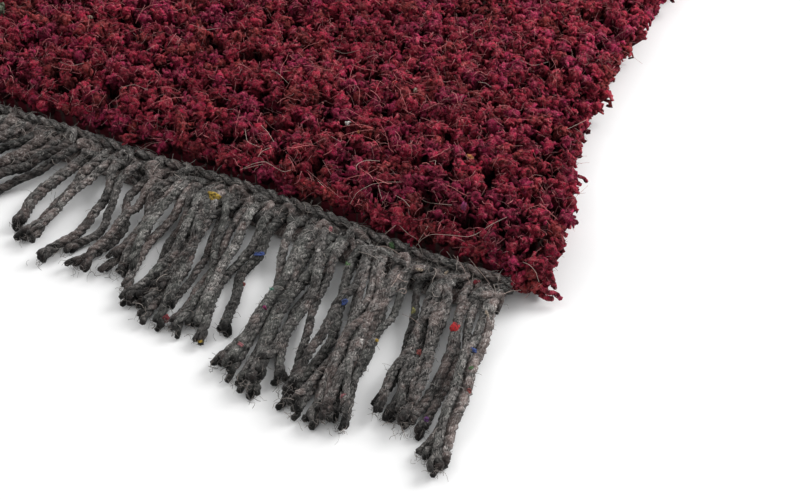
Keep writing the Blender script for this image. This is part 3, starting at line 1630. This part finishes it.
    def _plied(self, paths: Array, rng: Rng) -> Surface:
        """Yarns as twisted plies that open at the cut end.

        A ply runs at its offset from the middle line, at the angle of its share of a turn
        plus the turns made so far; over the last stretch the offset opens as a square.

        Args:
            paths: middle lines.
            rng: the seeded source.

        Returns:
            The plies, each yarn's next to one another.
        """
        count, stations, _ = paths.shape
        length = lengths(paths)
        opened = np.clip(1.0 - (length[:, -1:] - length) / self.splay, 0.0, 1.0) ** 2
        tangents, normals, binormals = ring_frames(paths)
        places, shares = zip(*self.sizes_along)
        size = rng.uniform(0.84, 1.14, (count, 1)) * np.interp(paths[:, :1, 0], places, shares)
        looseness = rng.uniform(*self.looseness, (count, 1))
        turned = TAU * self.turns_per_metre * (length - 0.5 * self.splay * opened * opened)
        turned = turned * rng.uniform(0.85, 1.2, (count, 1)) + rng.uniform(0.0, TAU, (count, 1))
        tubes, radii = [], []
        for ply in range(self.plies):
            angle = turned + TAU * ply / self.plies + rng.normal(0.0, 0.15, (count, 1))
            offset = self.ply_offset * size * (1.0 + looseness * opened)
            aside = turned_to(angle[..., None], normals, binormals)
            longer = rng.uniform(*self.cut, (count, 1, 1)) * MM * opened[..., None]
            tube = paths + offset[..., None] * aside + longer * tangents
            radius = self.ply_radius * size * rng.uniform(0.9, 1.1, (count, 1))
            rough = self.roughness * rng.normal(0.0, 1.0, (count, stations))
            radius = radius * (1.0 + rough + 0.22 * opened)
            radius[:, -1] *= 0.82
            tube[..., 2] = np.maximum(tube[..., 2], 0.92 * radius)
            tubes.append(tube)
            radii.append(radius)
        tubes = np.stack(tubes, axis=1).reshape(-1, stations, 3)
        radii = np.stack(radii, axis=1).reshape(-1, stations)
        sides = self.ply_sides
        surface = sweep(tubes, radii, sides, rng.normal(0.0, 0.05, (len(tubes), stations, sides)))
        axis = np.repeat(np.repeat(paths, self.plies, axis=0), sides, axis=1)
        girth = np.repeat(size * (self.ply_offset + self.ply_radius), self.plies, axis=0)
        away = surface.points.reshape(len(tubes), -1, 3)[:, :-2] - axis
        crest = np.clip(np.linalg.norm(away, axis=2) / girth * 2.3 - 1.25, 0.0, 1.0)
        upper = np.clip(0.58 + 0.75 * away[..., 2] / girth, 0.0, 1.0)
        tip = 1.0 - 0.74 * np.sqrt(np.repeat(opened, self.plies, axis=0))
        rings = np.repeat(tip, sides, axis=1) * (0.20 + 0.80 * crest) * (0.12 + 0.88 * upper)
        poles = 0.5 * np.stack([tip[:, 0], tip[:, -1]], axis=1)
        return surface.paint("depth", np.concatenate([rings, poles], axis=1).ravel())

    def _round(self, paths: Array, rng: Rng) -> Surface:
        """Yarns out of the photograph's sight: one rough tube each, its end a little wider."""
        count, stations, _ = paths.shape
        lobes = rng.normal(0.0, 0.06, (count, stations, 6))
        widen = 1.0 + 0.18 * (np.linspace(0.0, 1.0, stations) ** 8)[None, :]
        return sweep(paths, self.yarn_radius * rng.uniform(0.85, 1.1, (count, 1)) * widen, 6, lobes)

    def _knots(self, paths: Array, loops: int, sides: int, stations: int, rng: Rng) -> Surface:
        """Loops that hitch each strand to the strip, over its neck and back.

        Args:
            paths: middle lines of the strands.
            loops: loops for each strand.
            sides: points in a ring.
            stations: points along a loop.
            rng: the seeded source.

        Returns:
            The loops.
        """
        table = np.array(self.loop) * MM
        count = len(paths) * loops
        heads = np.repeat(paths[:, 0], loops, axis=0)
        heads[:, 2] = 0.0
        shift = rng.normal(0.0, 1.0, (count, 1, 3)) * MM * np.array([1.0, 1.5, 0.35])
        size = rng.uniform(0.70, 1.12, (count, 1, 1))
        table = table[None] * size * np.array([1.0, self.end.value, 1.0])
        turn = rng.uniform(-1.2, 1.2, (count, 1)) + math.pi * rng.integers(0, 2, (count, 1))
        pivot = self.loop_pivot * self.end.value
        dx, dy = table[..., 0], table[..., 1] - pivot
        spun_x = np.cos(turn) * dx - np.sin(turn) * dy
        spun_y = np.sin(turn) * dx + np.cos(turn) * dy + pivot
        spun = np.stack([spun_x, spun_y, table[..., 2]], axis=-1)
        points = heads[:, None] + shift + spun
        knots = np.linspace(0.0, 1.0, points.shape[1])
        fine = np.linspace(0.0, 1.0, stations)
        weights = np.array([np.interp(fine, knots, row) for row in np.eye(points.shape[1])]).T
        curve = smoothed(np.einsum("sk,nkc->nsc", weights, points), 1, 1)
        radii = rng.uniform(0.75, 1.25, (count, 1)) * MM * np.ones((1, stations))
        return sweep(curve, radii, sides, rng.normal(0.0, 0.08, (count, stations, sides)))

    def _strip(self, rng: Rng) -> Surface:
        """The felted strip: a bar whose section is a flat box with rounded, rough corners.

        A ring point's reach is the nearer of half width / |cos| and half height / |sin|.

        Args:
            rng: the seeded source.

        Returns:
            The strip.
        """
        plan = StrandPlan(self.end, self.outline)
        seen = self.end is End.FRONT
        x = np.concatenate([
            np.linspace(-self.strip_half, self.strip_coarse_to, 80, endpoint=False),
            np.linspace(self.strip_coarse_to, self.strip_half, 150),
        ])
        x = x if seen else x[::2]
        sides = 22 if seen else 12
        y = self.outline.end_line(x, self.end, plan.strip_gap + plan.strip_depth / 2.0)
        path = np.column_stack([x, y, np.full(len(x), self.strip_middle)])[None]
        angle = TAU * np.arange(sides) / sides
        wide = self.strip_wide / np.maximum(np.abs(np.cos(angle)), 1e-3)
        tall = self.strip_tall / np.maximum(np.abs(np.sin(angle)), 1e-3)
        section = (wide**-4.0 + tall**-4.0) ** -0.25 / self.strip_tall
        rough = rng.normal(0.0, 1.0, (1, len(x), sides))
        rough = (rough + np.roll(rough, 1, axis=1) + np.roll(rough, 1, axis=2)) * 0.11
        rough[..., np.sin(angle) > 0.2] = 0.0
        from_tip = np.clip((self.strip_half - np.abs(x)) / self.strip_taper, 0.0, 1.0)
        girth = self.strip_tall * MM * (0.22 + 0.78 * np.sqrt(1.0 - (1.0 - from_tip) ** 2))
        return sweep(path, girth[None], sides, section - 1.0 + rough)

    def build(self, finish: FringeWool) -> list[Surface]:
        """Makes the fringe's pieces.

        Args:
            finish: the yarn's finish.

        Returns:
            The surfaces that the camera sees, for what lies on them.
        """
        label = self.end.name.lower()
        node = f"fringe_{label}"
        rng = np.random.default_rng(self.seed + 3 * self.end.value)
        carved = finish.material(f"fringe_wool_carved_{label}", True)
        plain = finish.material(f"fringe_wool_plain_{label}", False)
        fine, coarse = self._centre(self.near_step), self._centre(self.far_step)
        half = coarse.shape[1] // 2
        near, near_root = (self.studio.sees(coarse[:, spot], self.near_margin) for spot in (half, 1))
        near = near | near_root
        tones = np.clip(rng.normal(0.50, 0.23, len(near)), 0.05, 1.0)
        hues = rng.uniform(0.0, 1.0, len(near))
        strip = self._strip(rng).paint("tone", 0.70).paint("hue", 0.85).paint("depth", 1.0)
        strip.build(f"end_strip_{label}", carved, "fringe_wool", node)
        seen = []
        if near.any():
            count = int(near.sum())
            over = self._laid_over(fine[near], rng)
            lines = np.concatenate([fine[near], over])
            yarns = self._plied(lines, rng)
            yarn_tones = np.concatenate([tones[near], rng.uniform(0.25, 0.8, len(over))])
            yarn_hues = np.concatenate([hues[near], rng.uniform(0.0, 1.0, len(over))])
            ply_tones = np.repeat(yarn_tones, self.plies)
            ply_tones = ply_tones + rng.normal(0.0, 0.08, len(ply_tones))
            yarns.paint_tubes(tone=ply_tones, hue=np.repeat(yarn_hues, self.plies))
            yarns.build(f"strands_near_{label}", carved, "fringe_wool", node)
            knots = self._knots(fine[near], 2, 6, 9, rng)
            raised = np.clip((knots.points[:, 2] - 3.6 * MM) / (4.6 * MM), 0.08, 1.0)
            tone, hue = rng.uniform(0.35, 1.05, 2 * count), rng.uniform(0.3, 1.0, 2 * count)
            knots.paint_tubes(tone=tone, hue=hue).paint("depth", raised)
            knots.build(f"root_knots_near_{label}", carved, "fringe_wool", node)
            seen = [strip, yarns, knots]
            self.cut_ends = lines[:, -1]
        plain_look = {"tone": tones[~near], "hue": hues[~near]}
        yarns = self._round(coarse[~near], rng).paint_tubes(**plain_look).paint("depth", 1.0)
        yarns.build(f"strands_far_{label}", plain, "fringe_wool", node)
        knots = self._knots(coarse[~near], 1, 4, 6, rng)
        knots.paint_tubes(**plain_look).paint("depth", 1.0)
        knots.build(f"root_knots_far_{label}", carved, "fringe_wool", node)
        return seen


@dataclass
class TwinedCord:
    """The two-ply cord that locks one end, beside the pile."""

    end: End
    outline: Outline
    ply_radius: float = 1.02 * MM
    ply_offset: float = 0.72 * MM
    offset: float = 3.4 * MM
    height: float = 6.2 * MM
    turns_per_metre: float = 105.0
    half_width: float = 0.303
    step: float = 1.15 * MM
    drift: float = 0.5 * MM
    drift_length: float = 31.0 * MM
    slack: float = 1.2 * MM
    slack_length: float = 17.0 * MM
    tones: Span = (0.74, 0.58)
    seed: int = 19

    def build(self, finish: FringeWool) -> Surface:
        """Makes the cord: two plies that wind round its middle line, half a turn apart.

        Args:
            finish: the yarn's finish.

        Returns:
            The cord's surface.
        """
        label = self.end.name.lower()
        rng = np.random.default_rng(self.seed + self.end.value)
        step = self.step if self.end is End.FRONT else 2.0 * self.step
        x = np.linspace(-self.half_width, self.half_width, round(2.0 * self.half_width / step))
        y = self.outline.end_line(x, self.end, self.offset)
        drift = self.drift * np.sin(x / self.drift_length)
        turn = TAU * self.turns_per_metre * (x + self.slack * np.sin(x / self.slack_length))
        paths = []
        for start in (0.0, math.pi):
            aside = self.ply_offset * np.cos(turn + start)
            lift = self.ply_offset * np.sin(turn + start)
            paths.append(np.column_stack([x, y + drift + aside, self.height + lift]))
        lobes = rng.normal(0.0, 0.06, (2, len(x), 6))
        plies = sweep(np.stack(paths), np.full((2, len(x)), self.ply_radius), 6, lobes)
        middle = np.column_stack([x, y + drift, np.full(len(x), self.height)])
        middle = np.concatenate([np.repeat(middle, 6, axis=0), middle[[0, -1]]])
        away = plies.points.reshape(2, -1, 3) - middle
        reach = self.ply_offset + self.ply_radius
        crest = np.clip(np.linalg.norm(away, axis=2) / reach * 2.2 - 1.15, 0.0, 1.0)
        plies.paint_tubes(tone=np.array(self.tones)).paint("hue", 0.55)
        plies.paint("depth", (0.25 + 0.75 * crest).ravel())
        material = finish.material(f"fringe_wool_cord_{label}", True)
        plies.build(f"twined_plies_{label}", material, "fringe_wool", f"twined_cord_{label}")
        return plies


class HairKind(NamedTuple):
    """Short hairs of one kind.

    How many there are, their lowest place, radius and shortest length in mm, what the
    gamma draw adds to that length, and the beta draw of their tone.
    """

    count: int
    lowest: float
    radius: float
    shortest: float
    longer: Span
    tone: Span


class WispKind(NamedTuple):
    """Wisps of one kind: count, lowest place, radii and lengths in mm, and their tone's draw."""

    count: int
    lowest: float
    radii: Span
    lengths: Span
    tone: Span


@dataclass
class Fuzz:
    """Short hairs and wisps that stand out of the wool where the camera looks."""

    pile_hair: HairKind = HairKind(2880, 11.0, 0.065, 1.0, (3.0, 0.9), (1.3, 2.2))
    rim_hairs: int = 520
    rim_lowest: float = 2.5 * MM
    pile_wisp: WispKind = WispKind(1740, 12.5, (0.09, 0.16), (2.5, 5.5), (1.6, 2.4))
    pile_long: WispKind = WispKind(190, 15.5, (0.05, 0.085), (5.0, 12.0), (0.75, 1.5))
    fringe_wisp: WispKind = WispKind(900, 3.0, (0.07, 0.13), (3.0, 7.5), (1.1, 2.3))
    strand_wisp: WispKind = WispKind(460, 2.2, (0.05, 0.10), (2.0, 5.0), (1.2, 1.8))
    tip_wisp: WispKind = WispKind(10, 0.0, (0.05, 0.10), (1.6, 4.0), (1.2, 4.5))
    fringe_hair: HairKind = HairKind(2200, 1.0, 0.07, 0.8, (2.2, 0.6), (1.5, 2.4))
    tip_spread: tuple[float, float, float] = (1.3, 1.3, 0.6)
    wander: float = 0.5
    seed: int = 3

    def _hairs(self, start: Array, way: Array, kind: HairKind, rng: Rng) -> Surface:
        """Curved hairs that leave a surface and bend over.

        Args:
            start: where they stand.
            way: which way the surface faces there.
            kind: their sizes and tones.
            rng: the seeded source.

        Returns:
            The hairs.
        """
        count, stations = len(start), 3
        way = unit(way + rng.normal(0.0, self.wander, way.shape))
        long = (rng.gamma(*kind.longer, count) * MM + kind.shortest * MM)[:, None]
        bend = unit(rng.normal(0.0, 1.0, (count, 3))) * long
        corners = [start - way * 0.3 * MM]
        for onwards, over in ((0.35, 0.10), (0.55, 0.45), (0.55, 0.80)):
            corners.append(start + way * long * onwards + bend * over)
        curve = bezier(np.stack(corners, axis=1), stations)
        curve[..., 2] = np.maximum(curve[..., 2], HAIR_GAP)
        radii = np.broadcast_to(kind.radius * MM * np.linspace(1.0, 0.7, stations), (count, stations))
        return sweep(curve, radii, 3).paint_tubes(tone=rng.beta(*kind.tone, count))

    def _wisps(self, start: Array, way: Array, kind: WispKind, rng: Rng) -> Surface:
        """Curly strands of fibre that lie on a surface and wind as they go.

        A wisp's point is its start, plus its length along the surface, plus a sine sideways,
        plus an arch away from the surface.

        Args:
            start: where their middles lie.
            way: which way the surface faces there.
            kind: their sizes.
            rng: the seeded source.

        Returns:
            The wisps, with no tone yet.
        """
        count, stations = len(start), 5
        radius = rng.uniform(*kind.radii, count) * MM
        long = rng.uniform(*kind.lengths, count) * MM
        along = unit(np.cross(way, rng.normal(0.0, 1.0, (count, 3))))
        aside = np.cross(way, along)
        share = np.linspace(-0.5, 0.5, stations)[None, :, None]
        phase, waves, width, arch = (
            rng.uniform(low, high, (count, 1, 1))
            for low, high in ((0.0, TAU), (3.0, 7.0), (0.3, 1.0), (0.2, 0.9))
        )
        path = start[:, None] + long[:, None, None] * share * along[:, None]
        path = path + width * MM * np.sin(waves * share + phase) * aside[:, None]
        path = path + (arch * MM * np.cos(math.pi * share) + 0.1 * MM) * way[:, None]
        path[..., 2] = np.maximum(path[..., 2], HAIR_GAP)
        return sweep(path, radius[:, None] * np.linspace(1.0, 0.7, stations), 3)

    def _laid(self, surfaces: Sequence[Surface], kind: WispKind, rng: Rng) -> Surface:
        """Wisps of a kind laid on surfaces, with their tones."""
        start, way = self._stand(surfaces, kind.count, kind.lowest * MM, rng)
        return self._wisps(start, way, kind, rng).paint_tubes(tone=rng.beta(*kind.tone, kind.count))

    def _stand(self, surfaces: Sequence[Surface], count: int, floor: float, rng: Rng) -> list[Array]:
        """Picks faces above a height and gives their middles and outward directions.

        Args:
            surfaces: what the hairs grow on.
            count: how many.
            floor: the lowest height.
            rng: the seeded source.

        Returns:
            Starts and directions.
        """
        skin = Surface.joined(surfaces)
        a, b, c, d = (skin.points[skin.quads[:, index]] for index in range(4))
        middle = (a + b + c + d) / 4.0
        outwards = unit(np.cross(c - a, d - b))
        able = np.flatnonzero((middle[:, 2] > floor) & (outwards[:, 2] > -0.2))
        chosen = rng.choice(able, count, replace=False)
        return [middle[chosen], outwards[chosen]]

    def build(self, pile: Sequence[Surface], fringe: Sequence[Surface], cut_ends: Array) -> None:
        """Makes the hairs and wisps of the pile and of the fringe.

        Args:
            pile: the pile's surfaces in view.
            fringe: the fringe's surfaces in view.
            cut_ends: where the strands in view end.
        """
        rng = np.random.default_rng(self.seed)
        spots = self._stand(pile, self.pile_hair.count, self.pile_hair.lowest * MM, rng)
        rim_spots = self._stand(pile[2:], self.rim_hairs, self.rim_lowest, rng)
        start, way = (np.concatenate(pair) for pair in zip(spots, rim_spots))
        hairs = self._hairs(start, way, self.pile_hair, rng)
        wool = HairWool((0.150, 0.016, 0.026, 1.0), (0.52, 0.24, 0.22, 1.0))
        hairs.build("pile_hairs", wool.material("pile_hair"), *PILE)
        wisps = self._laid(pile, self.pile_wisp, rng)
        kind = self.pile_long
        start, way = self._stand(pile, kind.count, kind.lowest * MM, rng)
        way = unit(way + np.array([0.0, 0.0, 1.6]))
        long = self._wisps(start + 0.5 * MM * way, way, kind, rng)
        long.paint_tubes(tone=rng.uniform(*kind.tone, kind.count))
        wool = HairWool((0.200, 0.010, 0.028, 1.0), (0.62, 0.17, 0.17, 1.0))
        Surface.joined([wisps, long]).build("pile_wisps", wool.material("pile_wisp"), *PILE)
        wisps = self._laid(fringe[:1] + fringe[2:], self.fringe_wisp, rng)
        over = self._laid(fringe[1:2], self.strand_wisp, rng)
        wool = HairWool((0.030, 0.026, 0.024, 1.0), (0.52, 0.44, 0.39, 1.0))
        Surface.joined([wisps, over]).build("fringe_wisps", wool.material("fringe_wisp"), *FRINGE)
        tips = np.repeat(cut_ends, self.tip_wisp.count, axis=0)
        start = tips + rng.normal(0.0, 1.0, tips.shape) * np.array(self.tip_spread) * MM
        way = unit(rng.normal(0.0, 1.0, tips.shape) + np.array([0.0, 0.0, 1.2]))
        wisps = self._wisps(start, way, self.tip_wisp, rng)
        wisps.paint_tubes(tone=rng.beta(*self.tip_wisp.tone, len(tips)))
        wisps.build("tip_wisps", wool.material("tip_wisp"), *FRINGE)
        kind = self.fringe_hair
        hairs = self._hairs(*self._stand(fringe, kind.count, kind.lowest * MM, rng), kind, rng)
        wool = HairWool((0.030, 0.027, 0.026, 1.0), (0.50, 0.46, 0.42, 1.0))
        hairs.build("fringe_hairs", wool.material("fringe_hair"), *FRINGE)


class Nep(NamedTuple):
    """A fleck of dyed wool: where the photograph shows it, its length and width in mm."""

    column: float
    row: float
    length: float
    width: float


class Stray(NamedTuple):
    """A long loose hair: the pixels it passes, and how fair it is from 0 to 1."""

    pixels: Table
    tone: float


@dataclass
class LooseBits:
    """Neps and long stray hairs, each seated on the wool under its place in the photograph."""

    studio: Studio
    neps: tuple[tuple[Dye, tuple[Nep, ...]], ...] = (
        (Dye.YELLOW, (
            Nep(214, 195, 4.2, 3.2), Nep(209, 341.5, 1.4, 1.0), Nep(377, 342, 2.2, 0.8),
        )),
        (Dye.RED, (Nep(454.5, 327.5, 3.2, 2.4), Nep(393, 81, 1.8, 1.2))),
        (Dye.DARK_RED, (Nep(475.5, 280, 2.2, 1.3), Nep(166.5, 317.5, 3.0, 2.0))),
        (Dye.PINK, (
            Nep(242, 343, 1.8, 1.1), Nep(332, 228, 2.4, 1.2), Nep(341, 395, 1.8, 1.2),
        )),
        (Dye.MAGENTA, (Nep(266, 306, 1.6, 1.2), Nep(465, 205, 3.2, 1.8))),
        (Dye.PURPLE, (Nep(427.5, 419, 2.2, 1.4),)),
        (Dye.BRICK, (
            Nep(420, 352, 2.8, 2.2), Nep(471, 391, 1.6, 1.4), Nep(248, 284, 1.6, 1.1),
        )),
        (Dye.BLUE, (
            Nep(345, 304, 3.0, 1.6), Nep(261, 255, 3.6, 1.2), Nep(475, 350, 2.6, 1.2),
        )),
        (Dye.GREEN, (
            Nep(394, 246, 3.0, 1.4), Nep(471, 366, 1.8, 1.0), Nep(348, 263, 1.8, 1.2),
        )),
        (Dye.MINT, (Nep(266, 283.5, 1.3, 1.1),)),
        (Dye.ORANGE, (Nep(469, 156, 2.4, 1.7), Nep(357, 131, 1.3, 0.9))),
        (Dye.CREAM, (
            Nep(418, 271, 2.4, 0.9), Nep(447, 272, 2.6, 1.0), Nep(489, 314, 2.4, 0.8),
            Nep(414, 89, 1.9, 1.5), Nep(92, 17, 2.0, 1.2),
        )),
        (Dye.WHITE, (
            Nep(363, 341, 2.2, 0.8), Nep(317, 249, 1.2, 1.0), Nep(347, 125, 2.6, 1.6),
        )),
        (Dye.OLIVE, (Nep(412, 311, 3.4, 1.0),)),
    )
    # Each hair's tone and the pixels it passes
    strays: tuple[Stray, ...] = tuple(Stray(tuple(pixels), tone) for tone, *pixels in (
        (0.55, (350, 204), (357, 192), (372, 184), (386, 182), (402, 182)),
        (0.9, (357, 170), (356, 166), (359, 163), (366, 160), (380, 161)),
        (0.8, (395, 195), (404, 200), (410, 207)),
        (0.75, (420, 198), (424, 201), (430, 203), (441, 204), (452, 205)),
        (0.6, (378, 185), (380, 193), (383, 203)), (0.9, (429, 162), (436, 160), (435, 165)),
        (0.85, (240, 170), (252, 164), (265, 161), (276, 168), (284, 172), (291, 170)),
        (0.8, (244, 169), (254, 166), (263, 164)), (0.85, (261, 125), (268, 132), (274, 142)),
        (0.75, (258, 157), (262, 151), (272, 147)), (0.6, (245, 129), (247, 142), (260, 147)),
        (0.8, (318, 181), (324, 187)), (0.7, (331, 136), (341, 142)),
        (0.85, (270, 68), (279, 74), (289, 84)),
        (0.7, (416, 246), (422, 239), (431, 234), (450, 235), (468, 237), (477, 234), (490, 225),
         (507, 217)),
        (0.75, (418, 242), (422, 236), (428, 226)), (0.5, (400, 226), (408, 234), (417, 239)),
        (0.9, (385, 234), (391, 229), (396, 225)),
        (1.0, (523, 262), (530, 265), (536, 272), (539, 282)),
        (0.75, (499, 294), (504, 294), (510, 291), (521, 290)),
        (0.7, (469, 258), (477, 268), (484, 276), (490, 284)),
        (0.6, (391, 287), (396, 280), (400, 273), (397, 277), (403, 281), (408, 282)),
        (0.8, (396, 292), (402, 288), (407, 290), (405, 294), (401, 292)),
        (0.4, (420, 325), (412, 318), (402, 314)),
        (0.5, (376, 247), (384, 246), (392, 249), (403, 257)),
        (0.45, (453, 255), (462, 265), (470, 283)), (0.8, (560, 131), (570, 128), (586, 120)),
        (0.45, (575, 128), (583, 134), (588, 141)), (0.9, (555, 286), (557, 291), (556, 297)),
        (0.85, (478, 82), (486, 83), (491, 87)), (0.5, (60, 62), (72, 66), (84, 63)),
        (0.5, (120, 88), (134, 84), (148, 90)), (0.5, (190, 24), (206, 30), (220, 28)),
        (0.5, (330, 48), (344, 54), (360, 50)), (0.5, (520, 60), (533, 66), (548, 62)),
    ))
    hair_radius: float = 0.062 * MM
    fleck_curls: int = 5
    fleck_profile: Row = (0.6, 1.0, 1.1, 1.0, 0.6)
    search_rings: Row = (2.0, 4.5, 8.0, 13.0)
    seed: int = 17

    def _tree(self, surfaces: Sequence[Surface]) -> BVHTree:
        """A search tree of the surfaces."""
        skin = Surface.joined([replace(surface, values={}) for surface in surfaces])
        return BVHTree.FromPolygons(skin.points.tolist(), skin.quads.tolist() + skin.triangles.tolist())

    def _seat(self, tree: BVHTree, column: float, row: float, snap: bool) -> tuple[Vector, Vector] | None:
        """Where the wool nearest to the eye lies round a pixel.

        Args:
            tree: the wool.
            column: the pixel's column.
            row: its row.
            snap: whether to move onto that wool, or to stay on the pixel's ray at its depth.

        Returns:
            The place and the way to the eye, or None where there is no wool.
        """
        eye = Vector(self.studio.eye())
        ray = Vector(self.studio.ray(column, row))
        for reach in self.search_rings:
            rays = [
                Vector(self.studio.ray(column + reach * math.cos(turn), row + reach * math.sin(turn)))
                for turn in np.linspace(0.0, TAU, 8, endpoint=False)
            ]
            hits = [tree.ray_cast(eye, way) for way in [ray, *rays]]
            hits = [hit for hit in hits if hit[0] is not None]
            if hits:
                nearest = min(hits, key=lambda hit: hit[3])
                return (nearest[0] if snap else eye + ray * nearest[3]), -ray
        return None

    def _fleck(self, nep: Nep, place: Vector, normal: Vector, rng: Rng) -> Surface:
        """A felted fleck: a few short thick curls that lie in the wool side by side.

        Args:
            nep: its sizes.
            place: where it is seated.
            normal: which way the wool faces there.
            rng: the seeded source.

        Returns:
            The fleck.
        """
        up = np.array(normal)
        aside = unit(np.cross(up, rng.normal(0.0, 1.0, 3)))
        along = np.cross(up, aside)
        count = self.fleck_curls
        lanes = np.linspace(-0.5, 0.5, count)[:, None] + rng.normal(0.0, 0.08, (count, 1))
        ends = nep.length * MM * rng.uniform(0.30, 0.47, (count, 1))
        middle = np.array(place)[None] + aside * lanes * nep.width * 0.52 * MM
        arch = up * (0.22 * nep.width * MM)
        stray = rng.normal(0.0, 0.22, (count, 3)) * MM
        corners = np.stack([
            middle - along * ends - up * 0.15 * MM, middle - along * ends * 0.4 + arch + stray,
            middle + along * ends * 0.4 + arch - stray, middle + along * ends - up * 0.15 * MM + stray,
        ], axis=1)
        thickness = 0.24 * nep.width * MM * np.array(self.fleck_profile)
        stations = len(thickness)
        lobes = rng.normal(0.0, 0.1, (count, stations, 6))
        return sweep(bezier(corners, stations), np.tile(thickness, (count, 1)), 6, lobes)

    def _hair(self, tree: BVHTree, stray: Stray, rng: Rng) -> Surface | None:
        """A long hair through its pixels: seated, lifted a little and smoothed.

        Args:
            tree: the wool.
            stray: the hair's pixels and tone.
            rng: the seeded source.

        Returns:
            The hair, or None where it misses the wool.
        """
        seats = [self._seat(tree, *pixel, snap=False) for pixel in stray.pixels]
        spots = np.array([list(seat[0]) for seat in seats if seat is not None])
        if len(spots) < 2:
            return None
        towards_eye = unit(self.studio.eye() - spots)
        depth = np.linalg.norm(self.studio.eye() - spots, axis=1)
        nearest = np.convolve(np.pad(depth, 1, mode="edge"), np.ones(3) / 3.0, mode="valid")
        spots = spots + towards_eye * (depth - np.minimum(depth, nearest))[:, None]
        spots[1:-1] += towards_eye[1:-1] * rng.uniform(0.3, 1.2, (len(spots) - 2, 1)) * MM
        path = eased(spots, 6)
        radii = self.hair_radius * (0.75 + 0.25 * np.sin(np.linspace(0.3, 2.8, len(path))))
        hair = sweep(path[None], radii[None], 4)
        return hair.paint("tone", stray.tone)

    def build(self, pile: Sequence[Surface], fringe: Sequence[Surface]) -> None:
        """Makes the neps, one piece for each dye, and the stray hairs.

        Args:
            pile: the pile's surfaces in view.
            fringe: the fringe's surfaces in view.
        """
        rng = np.random.default_rng(self.seed)
        tree = self._tree([*pile, *fringe])
        for dye, neps in self.neps:
            seats = [self._seat(tree, nep.column, nep.row, snap=True) for nep in neps]
            flecks = [self._fleck(nep, *seat, rng) for nep, seat in zip(neps, seats) if seat is not None]
            name = dye.name.lower()
            Surface.joined(flecks).build(f"neps_{name}", DyedWool(dye).material(f"dyed_{name}"), *FRINGE)
        hairs = [self._hair(tree, stray, rng) for stray in self.strays]
        hairs = [hair for hair in hairs if hair is not None]
        fair = HairWool((0.16, 0.09, 0.08, 1.0), (0.72, 0.55, 0.47, 1.0))
        Surface.joined(hairs).build("stray_hairs", fair.material("stray_hair"), *PILE)


def main() -> None:
    """Builds the studio and the rug, and writes the sizes."""
    logging.basicConfig(level=logging.INFO, format="%(message)s")
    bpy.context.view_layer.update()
    studio = Studio()
    outline = Outline()
    studio.build()
    GroundWeave(outline).build(GroundWool())
    pile = ShagPile(outline, studio).build(PileWool())
    yarn = FringeWool()
    fringe = []
    cut_ends = []
    for end in End:
        strands = Fringe(end, outline, studio)
        fringe += strands.build(yarn)
        cut_ends.append(strands.cut_ends)
        cord = TwinedCord(end, outline).build(yarn)
        if end is End.FRONT:
            fringe.append(cord)
    Fuzz().build(pile, fringe, np.concatenate(cut_ends))
    LooseBits(studio).build(pile, fringe)


if __name__ == "__main__":
    main()
